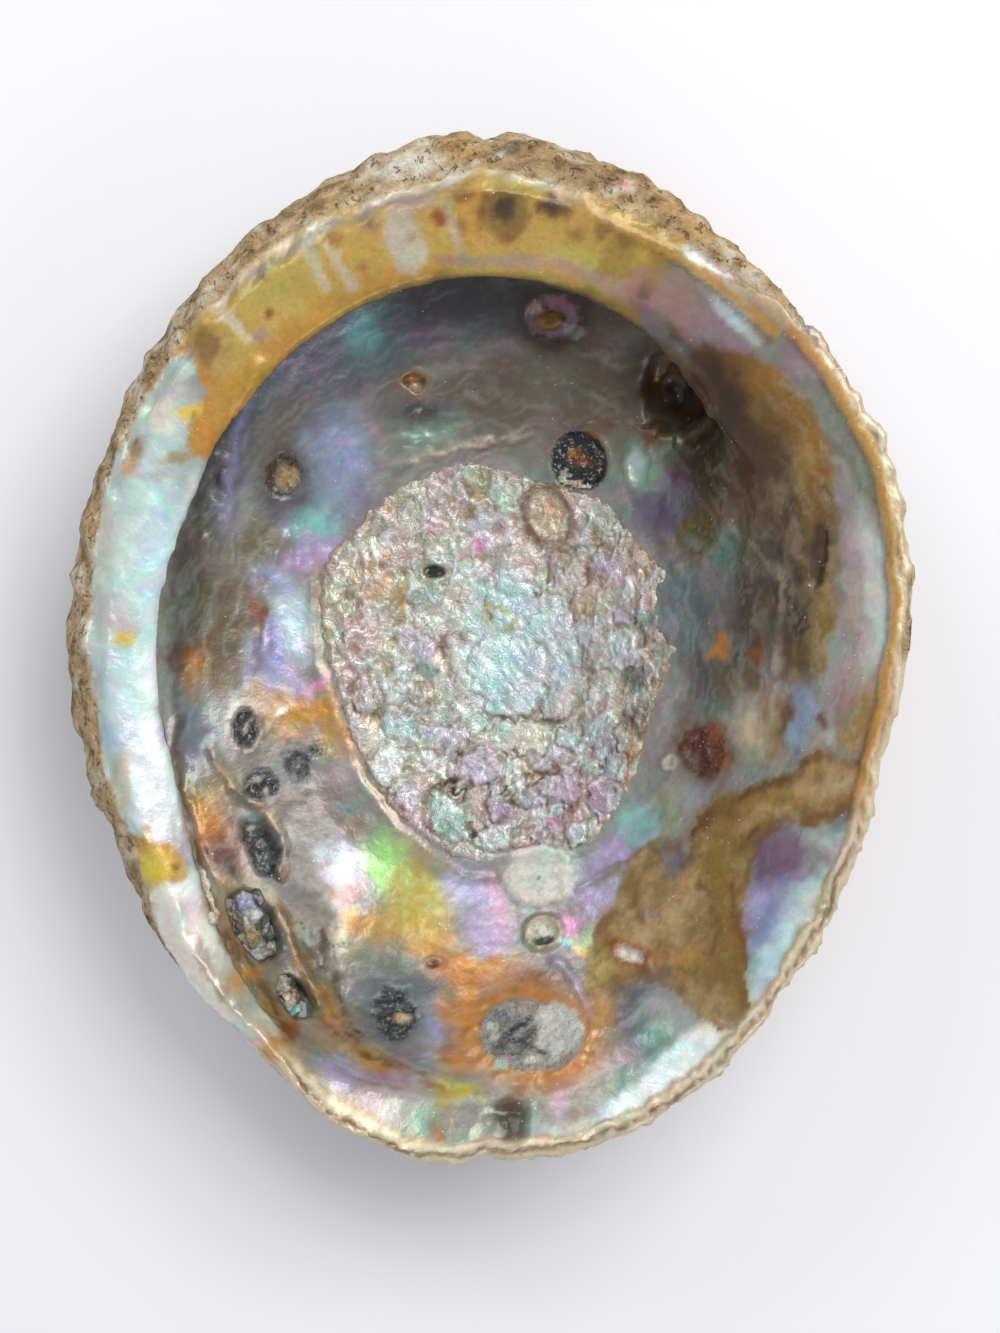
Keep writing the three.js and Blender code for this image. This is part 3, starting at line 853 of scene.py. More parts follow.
# Stains with an outline, darker along their tide line: colour, line colour, edge softness, strength, points.
def layStains(site, rows, where, stained=1.0):
    for colour, edgeColour, soft, strength, points in rows:
        gap = fromOutline(rounded(points, 2, True), site.firmX, site.firmY)
        lay(site, where * strength * smoothStep(soft, -soft, gap), colour, stained)
        if edgeColour:
            uneven = np.clip(0.6 + 0.8 * site.wander[0], 0, 1)
            tide = smoothStep(-3.4, -0.8, gap) * (gap < 0.6)
            lay(site, where * strength * uneven * tide, edgeColour, stained)


shelfSoft = [
    ("mint", -71, 12, 16, 34, 0, 1), ("paleGrey", -77, 12, 3.5, 30, 0, 0.6),
    ("cyanWhite", -66, 8, 4, 34, 0, 0.8), ("cyanWhite", -70, -18, 9, 20, 0, 0.8),
    ("white", -66, -20, 5, 24, 0, 0.8), ("rose", -73, 4, 4, 4, 0, 0.4), ("paleGrey", -66, 50, 7, 9, -30, 0.9),
    ("mint", -66, 44, 5, 5, 0, 0.6), ("mint", -60, 57, 4, 3, 0, 0.5), ("white", -57, -60, 8, 20, 38, 1),
    ("white", -63, -52, 8, 6, 0, 1), ("white", -47, -74, 4, 12, 45, 0.9), ("cream", -45, -80, 4, 5, 45, 0.6),
    ("mint", -74, -33, 3, 6, 20, 0.6), ("cream", -61, -58, 5, 15, 38, 0.5),
    ("cream", -50, -72, 4, 9, 45, 0.5),
]
shelfStains = [
    ("mustard", "honey", 0.9, 1, [(-52, 34), (-57, 37), (-61, 41), (-58, 46), (-55.5, 50), (-57, 55),
                                  (-61, 58), (-64, 60), (-62, 72), (-50, 84), (-30, 96), (0, 102), (30, 96),
                                  (44, 82), (36, 78), (32.5, 75), (31, 69), (28, 60), (0, 55), (-40, 40)]),
    ("lemon", "ochre", 0.8, 0.9, [(-73, -38), (-69, -40), (-64, -41), (-60.5, -44), (-61, -47), (-65, -48),
                                  (-69, -50), (-73, -46)]),
]
shelfStreaks = [
    (0.75, 0.5, [("honey", -56, 40, 3.4), ("honey", -51, 49, 3.6), ("honey", -44, 57, 3.4),
                 ("honey", -34, 66, 2.8), ("ochre", -22, 72, 2.2), ("ochre", -8, 75.6, 1.8)]),
    (0.5, 0.6, [("goldGreen", -51, 57, 2.5), ("goldGreen", -45, 68, 5), ("goldGreen", -38, 72, 5),
                ("mustard", -30, 77, 4)]),
    (0.75, 0.4, [("cream", -54.5, 67.5, 1.1), ("paleGrey", -51, 63.5, 1.0), ("cream", -49, 60.5, 0.8)]),
    (0.6, 0.5, [("paleGrey", -37, 79, 1.5), ("cream", -35, 75, 1.4), ("paleGrey", -33, 71, 1)]),
    (0.6, 0.5, [("cream", -33, 80, 1), ("paleGrey", -30, 75, 1.2), ("paleGrey", -27, 71.5, 1)]),
    (0.8, 0.35, [("mauve", -17, 87, 2), ("paleGrey", -17, 82, 3.6), ("paleGrey", -15.5, 77, 3.2)]),
    (0.6, 0.4, [("greyGreen", -8.5, 86, 1.2), ("paleGrey", -7, 81, 1.4), ("greyGreen", -5, 77, 0.9)]),
    (0.6, 0.5, [("mauve", -10, 76.2, 0.9), ("mauve", 0, 77, 1.2), ("rose", 12, 76.2, 1.5),
                ("mauve", 22, 73.2, 1.9), ("mauve", 29, 69, 2.4), ("plum", 34, 64.6, 2.4)]),
    (0.85, 0.35, [("dustyRose", 31, 72, 3.4), ("dustyRose", 38, 68, 6), ("mauve", 44, 63, 5.4),
                  ("mauve", 51, 60, 3.2), ("grey", 58, 57.4, 2)]),
    (0.9, 0.35, [("paleGrey", 41, 75, 1.6), ("paleGrey", 45.6, 70.6, 2.6), ("cyanWhite", 50, 65, 2.4),
                 ("paleGrey", 53, 61.4, 1.8)]),
    (0.8, 0.4, [("tan", 36, 77.6, 2), ("tan", 33.4, 73, 1.8), ("taupe", 31, 69.6, 1.4)]),
    (0.9, 0.35, [("grey", 52, 69, 1.6), ("grey", 57, 63.4, 4), ("greyGreen", 61.6, 57.4, 4.4),
                 ("grey", 66.6, 51, 3.4)]),
    (0.6, 0.5, [("seaGreen", 57, 64, 1.2), ("mauve", 61.6, 60, 1.6), ("mauve", 66, 54.6, 1.6)]),
    (0.8, 0.3, [("greyGreen", 33, 66, 0.7), ("olive", 37, 62, 0.9), ("greyGreen", 41, 58.6, 0.7)]),
]
shelfOver = [
    ("mauve", -46, 61.5, 2.0, 1.6, 0, 0.6), ("tan", -24, 84, 2.6, 2.4, 0, 0.7),
    ("tan", -54, 58, 3, 5, 0, 0.4), ("rust", -44, 65.6, 1.1, 1.1, 0, 0.9),
    ("brown", -23.6, 83.6, 1.3, 1.1, 0, 0.7), ("rust", -10, 83.6, 1.3, 1.2, 0, 1),
    ("rust", -15.4, 80.8, 0.9, 0.7, 0, 0.7), ("brown", -56, 60, 3, 3.4, 20, 0.6),
    ("brown", -45, 73.4, 0.9, 0.7, 30, 0.7), ("mauve", -13, 87, 3, 1.6, 0, 0.6),
    ("honey", -4, 84.6, 3.4, 5, 0, 0.6), ("brown", -5.4, 82.4, 1, 0.9, 0, 0.8),
    ("brown", -5, 87.4, 2.6, 1.2, 0, 0.7), ("rust", -1.6, 84.6, 0.9, 0.9, 0, 0.8),
    ("brown", 3, 84.6, 4.6, 4.4, 0, 0.7), ("darkBrown", 3, 84.8, 2.2, 1.8, 10, 0.9),
    ("rust", 3.4, 80.4, 1, 0.9, 0, 0.7), ("brown", 12.4, 85.2, 3.6, 2.4, 0, 0.9),
    ("darkBrown", 12, 85.4, 1.8, 1.4, 0, 0.8), ("brown", 17, 80.6, 1.4, 0.9, 0, 0.5),
    ("brown", 23, 82, 2.4, 2, -20, 0.6), ("goldGreen", 14.5, 77.8, 3.6, 1.2, 0, 0.7),
    ("goldGreen", 20, 76.6, 3, 2, 0, 0.6), ("brown", 27, 79.6, 2, 1.4, -30, 0.6),
    ("oliveGold", 26, 76, 4, 3, -40, 0.5), ("oliveGold", 32, 79.4, 4, 1.6, -30, 0.6),
    ("brown", 30.4, 84, 1, 0.8, 0, 0.6), ("tan", 18, 86.6, 5, 1.4, -10, 0.5),
    ("rust", -30.6, 80.6, 1.6, 1.8, 0, 0.6), ("rust", -25, 75, 1.2, 1.0, 0, 0.5),
    ("magenta", 30.6, 66.6, 2, 0.9, -40, 0.4),
]
shelfMarks = [
    ("lemon", -72.5, 1, 2.2, 1.4, 0, 0.8), ("tan", -70.4, 38.6, 1.8, 3.2, -12, 0.9),
    ("brown", -70, 40.4, 1, 1, 0, 0.6), ("orange", -71.6, 34.6, 1.4, 1.6, 0, 0.6),
    ("rose", -66, 33.6, 3, 1, 10, 0.5), ("tan", -62.6, 36.8, 3.2, 1.3, 12, 0.8),
    ("orange", -57, 41, 2.4, 3.2, -30, 0.6), ("lemon", -60, 46, 2.6, 1.8, 20, 0.8),
    ("brown", -59, 45.6, 0.6, 0.6, 0, 0.9), ("cream", -66, 46, 3.6, 4, 0, 0.5),
    ("rust", -63, -44.8, 1.1, 0.8, 0, 0.9), ("lemon", -66.5, -46.4, 2.2, 1.6, -20, 0.7),
    ("ochre", -68.6, -37.6, 1.2, 1.6, 0, 0.6), ("sand", -73, -28, 1.4, 7, -10, 0.5),
    ("ochre", -42, -80.6, 3.4, 2.6, 20, 0.9), ("cream", -77, 20, 1, 8, -6, 0.5),
    ("tan", -74.6, -26, 0.9, 5, -14, 0.5), ("mint", -60.4, 56, 2.4, 2.4, 0, 0.5),
    ("mauve", -59.4, 57.6, 1.4, 2.2, 20, 0.5),
]
shelfLines = [
    ("chalk", 0.8, 0.9, [(-58, 65), (-52.6, 70.6), (-47, 75.6), (-40, 80.6), (-31, 85), (-20, 88.6),
                         (-10, 90.4), (-3, 92.4), (3, 90.8), (11, 89.6), (19, 87.8)]),
    ("grey", 0.9, 0.8, [(-50, 70.6), (-42, 77.4), (-33, 82.6), (-24, 86.2), (-14, 88.8), (-4, 90.4)]),
    # painted highlight: a white line along the rounded inner edge of the left shelf
    ("white", 1.2, 0.5, [(-57, 36), (-62, 24), (-65, 8), (-65, -10), (-63.5, -25), (-61.5, -38), (-58, -50)]),
]


def paintShelf(site):
    where = site.onShelf * site.nacre + (1 - site.onShelf) * (1 - site.inBowl) * site.nacre * site.hasShelf
    laySoft(site, shelfSoft, where)
    layStains(site, shelfStains, where, 0.8)
    layBands(site, shelfStreaks[:7], where * 0.75, 0.6)
    layBands(site, shelfStreaks[7:], where, 0.2)
    layFirm(site, shelfOver, where, 0.8, 0.8)
    layFirm(site, shelfMarks, where, 0.6, 0.7)
    layLines(site, shelfLines, where, 0.2)


bowlSoft = [
    # the back of the bowl under the shelf: its own dark nacre, with painted shade (deepShade, blackBrown)
    # where it lies in shadow
    ("deepShade", 0, 74, 50, 9, 0, 0.9), ("violetGrey", -30, 56, 18, 12, 30, 0.9),
    ("violetGrey", -5, 64, 16, 8, 0, 0.7), ("taupe", 5, 50, 28, 10, 0, 0.9),
    ("deepShade", -52, 40, 5, 22, -18, 0.8), ("grey", -4, 56, 10, 6, 0, 0.4),
    ("teal", -22, 62, 7, 9, -10, 0.6), ("aqua", -25, 63, 3, 4, 0, 0.5), ("plum", -14, 62, 6, 3.4, 0, 0.7),
    ("greyGreen", 0, 62, 5, 5, 0, 0.4), ("taupe", 15, 53, 10, 7, 0, 0.8), ("seaGreen", 25, 47, 4, 5, 0, 0.5),
    ("seaGreen", -11, 43.5, 7, 3.2, 0, 0.6), ("rose", -24, 42.5, 3, 2, -20, 0.5),
    ("taupe", -39, 44, 4, 7, -20, 0.7), ("blueGrey", -31, 40, 7, 8, 0, 0.9),
    ("blueGrey", -34, 30, 8, 7, 0, 0.8), ("lavender", -30, 36, 5, 6, 0, 0.5),
    ("aqua", -35, 23.5, 5, 2.8, 0, 0.75), ("lilac", -35, 18.5, 7, 3, 10, 0.8),
    ("violetGrey", -43, 27, 6, 3.4, 0, 0.7), ("olive", -47, 20, 6, 4, 20, 0.7),
    ("taupe", -42, 37, 5, 7, 0, 0.5), ("grey", -50, 25, 3, 5, 0, 0.4), ("taupe", 10, 50, 22, 9, 0, 0.6),
    ("greyGreen", 14, 52, 8, 6, 0, 0.4), ("blackBrown", 6, 70, 32, 6, 0, 0.5),
    ("brown", 22, 62, 12, 6, 0, 0.4), ("brown", 24, 52, 8, 6, 0, 0.35), ("olive", 28, 44, 10, 8, 0, 0.5),
    # pore side
    ("darkOlive", -59, 10, 5, 16, 0, 0.8), ("olive", -52, 3, 6, 12, 0, 0.8), ("taupe", -48, 4, 4, 8, 0, 0.5),
    ("rust", -45, 6.5, 1.8, 2.6, 10, 0.8), ("lavender", -44, 13, 3.4, 2.6, 0, 0.8),
    ("cyanWhite", -40, 6, 3.4, 9, 0, 0.7), ("lilac", -43, -3, 4.5, 6, 0, 0.85),
    ("cyanWhite", -39, -1, 3, 6, 0, 0.5), ("lilac", -37, -8, 3, 3, 0, 0.7),
    ("pink", -34.2, -8, 1.5, 1.6, 0, 0.8), ("brown", -60, -3, 4, 6, 0, 0.8),
    ("orange", -58, -6, 2.4, 4, -15, 0.6), ("blueGrey", -60, -18, 3.2, 7.5, 0, 0.9),
    ("paleGrey", -53, -17, 4, 7, 0, 0.6), ("olive", -55, -8, 2, 5, 0, 0.5),
    ("ochre", -38, -13.5, 7, 4, 0, 0.9), ("white", -41, -13.4, 1.6, 1.3, 0, 0.9),
    ("tan", -46, -9, 3, 2, 0, 0.7), ("ochre", -31, -18, 3, 6, 30, 0.7), ("orange", -40, -19, 4, 2.4, 0, 0.6),
    ("grey", -44, -25, 9, 6, 0, 0.6), ("rose", -33, -28, 4, 4, 0, 0.7),
    ("violetGrey", -31, -33, 5, 4, 0, 0.5), ("mauve", -42, -34, 4, 4, 0, 0.5),
    ("tan", -55, -33, 5, 7, 20, 0.8), ("lilac", -59.5, -36, 1.2, 3, 10, 0.5),
    ("honey", -57, -35, 3, 5, 10, 0.6), ("rust", -53, -41, 4.6, 5, 0, 0.8), ("tan", -50, -50, 5, 7, 30, 0.8),
    ("honey", -44, -72, 3, 8, 30, 0.7), ("greyGreen", -25, -36, 6, 4, 0, 0.6),
    ("leaf", -21.5, -44, 4, 5, -10, 0.8), ("goldGreen", -15, -50, 6, 9, 15, 0.8),
    ("cyanWhite", -27.6, -44, 3.6, 3.6, 0, 0.7), ("pink", -26, -46, 2, 3, 0, 0.5),
    ("lilac", -34, -49, 4, 3, 30, 0.7), ("rose", -29, -52, 4, 3, 0, 0.5), ("ochre", -27, -58, 4, 3, 0, 0.7),
    ("orange", -26, -61, 2, 4, 0, 0.5), ("taupe", -35, -58, 4, 7, 20, 0.7),
    ("greyGreen", -36, -60, 2, 4, 15, 0.6), ("olive", -32, -70, 3, 8, 15, 0.6),
    ("lavender", -5, -51, 4.4, 8, 15, 0.85), ("pink", 2, -53, 3.6, 6, 20, 0.6),
    ("lilac", -1, -58, 4, 4, 0, 0.6), ("honey", -13, -58, 6, 5, 0, 0.6), ("orange", -1, -65, 10, 3.6, 4, 0.9),
    ("orange", -6, -72, 3, 9, 0, 0.85), ("brown", 10, -68.5, 5, 2.6, 0, 0.8),
    ("greyGreen", -20, -64, 7, 5, 0, 0.8), ("slate", -20, -70, 8, 6, 0, 0.6),
    ("slate", -12, -69, 4, 3, 0, 0.6), ("taupe", -25, -76, 6, 4, -20, 0.7),
    ("lavender", -11.5, -77.5, 4, 3, -20, 0.7), ("orange", -7, -83, 4, 3, 0, 0.8),
    ("brown", -9, -80, 1.5, 3, 0, 0.5), ("goldGreen", -14, -52, 7, 8, 0, 0.6),
    ("ochre", -21, -57, 4, 4, 0, 0.6), ("leaf", -21, -42, 4, 5, 0, 0.6), ("tan", -30, -37, 5, 3, 20, 0.6),
    ("ochre", -13, -61, 6, 3, 0, 0.6), ("taupe", -34, -34, 6, 5, 0, 0.6),
    # front end
    ("mauve", -22, -88, 9, 4, -18, 0.7), ("mint", -33, -91, 5, 4, -40, 0.7),
    ("paleGrey", -16, -92, 6, 4, -15, 0.5), ("lilac", -30, -86, 4, 3, -30, 0.4),
    ("rose", -23, -94, 3, 1.4, -20, 0.8), ("goldGreen", -8, -90, 4, 3, -15, 0.8),
    ("lemon", -4, -90.5, 3, 1.4, 0, 0.5), ("seaGreen", -11, -96, 3, 3, 0, 0.5),
    ("brown", -8.5, -97.5, 1.8, 3.6, 25, 0.7), ("greyGreen", 0, -96, 4, 6, 0, 0.6),
    ("darkOlive", 5, -94, 3, 7, 0, 0.85), ("brown", 4, -91, 1, 3, 0, 0.6), ("slate", 3, -102, 5, 2, 0, 0.7),
    ("greyGreen", 10, -95, 3.4, 6, 0, 0.8), ("aqua", 6, -86.5, 5, 2, 10, 0.7),
    ("pink", 15, -93, 1.6, 4, 10, 0.7), ("mint", 13, -98, 2.4, 3, 0, 0.6), ("lemon", 18, -97, 2, 2, 0, 0.7),
    ("rose", 20, -86, 6, 4, 20, 0.6), ("seaGreen", 27, -84, 10, 5, 30, 0.6), ("rose", 26, -82, 5, 4, 30, 0.6),
    ("teal", 31, -77, 8, 5, 20, 0.7), ("plum", 26, -74, 3, 3.4, 0, 0.7), ("slate", 30, -70, 5, 3, 10, 0.7),
    ("paleGrey", 36, -74, 4, 6, 0, 0.5), ("greyGreen", 38, -80, 4, 4, 0, 0.4),
    ("pink", 16.5, -55.5, 2.6, 2.2, 0, 0.9), ("aqua", 15.5, -59.3, 2, 0.9, -15, 0.9),
    ("lemon", 19, -60.8, 3, 1.3, -30, 0.8), ("leaf", 21, -58, 4, 2, 10, 0.6),
    ("lilac", 21, -50, 5, 4, 0, 0.8), ("rose", 24, -53, 4, 2.4, 0, 0.6), ("lilac", 24, -42, 5, 3, 40, 0.8),
    ("aqua", 30, -36, 4, 4, 0, 0.6), ("seaGreen", 37, -34, 4, 5, -40, 0.8),
    ("blueGrey", 42, -31, 4, 3, 30, 0.6),
    # lip side
    ("darkOlive", 48, 40, 12, 14, 0, 0.95), ("darkOlive", 43, 32, 9, 9, 0, 0.8),
    ("violetGrey", 35, 27, 7, 6, 0, 0.9), ("plum", 37, 33, 4, 2.4, 30, 0.7),
    ("magenta", 37, 35.5, 1.6, 1, 30, 0.6), ("greyGreen", 31, 35, 4, 5, 0, 0.7),
    ("mauve", 55, 32, 2, 4, 0, 0.4), ("olive", 42, 22, 8, 4, 30, 0.9), ("grey", 55, 27, 2.4, 5, -20, 0.4),
    ("slate", 42, 5, 7, 12, 0, 0.8), ("olive", 50, 24, 8, 10, 0, 0.7), ("taupe", 47, -2, 6, 10, 0, 0.5),
    ("teal", 38, 12, 5, 4, 0, 0.4), ("teal", 48, 20, 5, 3, 30, 0.5), ("charcoal", 44, -8, 5, 7, -20, 0.6),
    ("darkBrown", 52, 6, 4, 14, 0, 0.85), ("brown", 54, 2, 1.6, 10, 0, 0.5), ("olive", 50, -7, 5, 4, 30, 0.7),
    ("tan", 56, -16, 7, 7, 0, 0.8), ("cream", 52, -17, 3, 4, 0, 0.6), ("paleGrey", 53, -12, 3, 3, 0, 0.4),
    ("blueGrey", 62.5, -15, 2.6, 8, 0, 0.8), ("greyGreen", 64, -9, 4, 2.4, 0, 0.7),
    ("tan", 71, -20, 5, 3, 0, 0.5), ("paleGrey", 70, -18, 4, 2, 0, 0.5),
    # lower lip side
    ("lavender", 56, -52, 6, 9, -15, 0.9), ("plum", 57, -42, 7, 7, -20, 0.9),
    ("mauve", 60, -38, 4, 4, 0, 0.5), ("blueGrey", 55, -58, 4, 7, -20, 0.8),
    ("cyanWhite", 58, -62, 3, 9, -30, 0.9), ("mint", 64, -53, 3.6, 10, -28, 0.9),
    ("chalk", 66, -49, 2.4, 8, -28, 0.7), ("mint", 70, -40, 4, 5, -20, 0.7),
    ("violetGrey", 71, -36, 4, 1.6, 10, 0.8),
]
bowlBands = [
    # the gold and brown sweep down the lip side, and the pale lip outside it
    (1, 0.8, [("brown", 44, 53, 4), ("bronze", 52, 48, 6), ("olive", 57, 41, 7), ("darkOlive", 60, 32, 7),
              ("darkOlive", 61, 22, 6.5), ("darkBrown", 61, 12, 6), ("darkOlive", 61, 2, 5.5),
              ("olive", 62, -5, 3.4)]),
    (1, 0.5, [("brown", 41.6, 57.4, 2), ("bronze", 49, 56, 2.6), ("gold", 56.6, 51.4, 3.6),
              ("gold", 61.8, 45, 4.2), ("gold", 64.8, 37, 4), ("bronze", 65.6, 27, 3.8),
              ("olive", 66.4, 17, 3.4), ("oliveGold", 67, 6, 2.6), ("oliveGold", 66, -4, 1.8)]),
    (1, 0.35, [("mauve", 60.6, 58, 3), ("grey", 66.8, 50, 3.6), ("greyGreen", 72, 41, 3.4),
               ("greyGreen", 74.6, 30, 4.2), ("paleGrey", 76, 20, 4.8), ("paleGrey", 76.6, 8, 5.4),
               ("paleGrey", 76, -4, 5.6), ("tan", 75, -12, 5.4), ("tan", 73, -18, 4)]),
    (0.55, 0.6, [("mauve", 70.6, 33, 1.4), ("mauve", 72, 22, 1.8), ("dustyRose", 73, 12, 2),
                 ("dustyRose", 72.6, 2, 2.4), ("mauve", 71, -8, 3), ("mauve", 70, -14, 3)]),
    (0.5, 0.6, [("mint", 79, 20, 1.4), ("mint", 79, 10, 1.8), ("mint", 78.6, 0, 1.6)]),
    # the pale wedge at the front, by the lip
    (1, 0.45, [("mint", 18, -98, 2.6), ("white", 25, -93.6, 2.4), ("white", 33, -88, 3),
               ("white", 41, -81.6, 4), ("chalk", 49, -75, 3.6), ("mint", 54, -70, 2)]),
    (0.7, 0.6, [("cream", 50, -77, 2), ("chalk", 57, -69, 1.6), ("chalk", 64, -58, 1.8),
                ("chalk", 69.6, -48, 2)]),
    # streaks that run together at the front pores
    (0.4, 0.6, [("lilac", -38, -48, 0.8), ("lilac", -33, -46, 1.4), ("white", -27, -43, 2)]),
    (0.5, 0.6, [("orange", -40, -50, 0.8), ("sand", -34, -50, 1.4), ("rose", -27, -50, 1.6)]),
    (0.5, 0.6, [("lavender", -39, -46, 0.8), ("cyanWhite", -33, -41.6, 1.4), ("greyGreen", -28, -38, 1.6)]),
]
bowlStains = [
    ("goldTan", "bronze", 2.0, 0.95, [(82, -8), (79.6, -18), (77, -24), (70, -24), (65.5, -21.5), (62, -25.6),
                                      (57, -27.5), (52, -29), (45, -33), (41.5, -37), (41, -43), (36, -47),
                                      (33.6, -41), (30, -41.6), (27, -45), (26, -52), (22, -57), (20, -62),
                                      (19, -68), (21, -77), (24, -74), (27, -68), (33, -66), (38, -69),
                                      (43, -76), (51, -75), (51.6, -68), (51, -60), (49.6, -52), (52, -45),
                                      (54.6, -39), (60, -34.6), (65, -36), (70, -34), (76, -33), (84, -20)]),
]
bowlOver = [
    ("tan", 70, -28.6, 6, 3.2, -10, 0.8), ("sand", 71, -28, 3.4, 2, -10, 0.5),
    ("oliveGold", 47, -41, 4, 9, 15, 0.6), ("oliveGold", 46, -64, 4, 9, -10, 0.5),
    ("tan", 34, -54, 6, 9, 0, 0.4), ("oliveGold", 52, -31, 8, 2.4, 15, 0.5), ("sand", 30, -58, 3, 4, 0, 0.3),
    ("brown", 46, -35.4, 5, 1.2, 30, 0.4), ("olive", 34, -40.6, 4, 2, 0, 0.5),
    ("tan", 43, -53, 2.6, 6, -10, 0.8), ("rose", 33, -54, 1.6, 2.2, 0, 0.7), ("olive", 45, -68, 7, 5, 0, 0.5),
    ("rust", 50, -60, 1.6, 6, 0, 0.4), ("goldGreen", 22, -64, 3, 5, 0, 0.5),
    ("sand", 57, -33.6, 5, 0.8, -10, 0.5), ("darkBrown", 39, -42, 1.6, 3, 0, 0.6),
    ("violetGrey", 37, -44, 2.2, 4.4, -20, 0.9), ("orange", 22, -74, 1.4, 3.6, 20, 0.6),
    ("oliveGold", 45, -45, 3, 8, 10, 0.4), ("ochre", 58, -30.6, 5, 2, -10, 0.4),
    ("ochre", 38, -62, 5, 3, 0, 0.4),
]
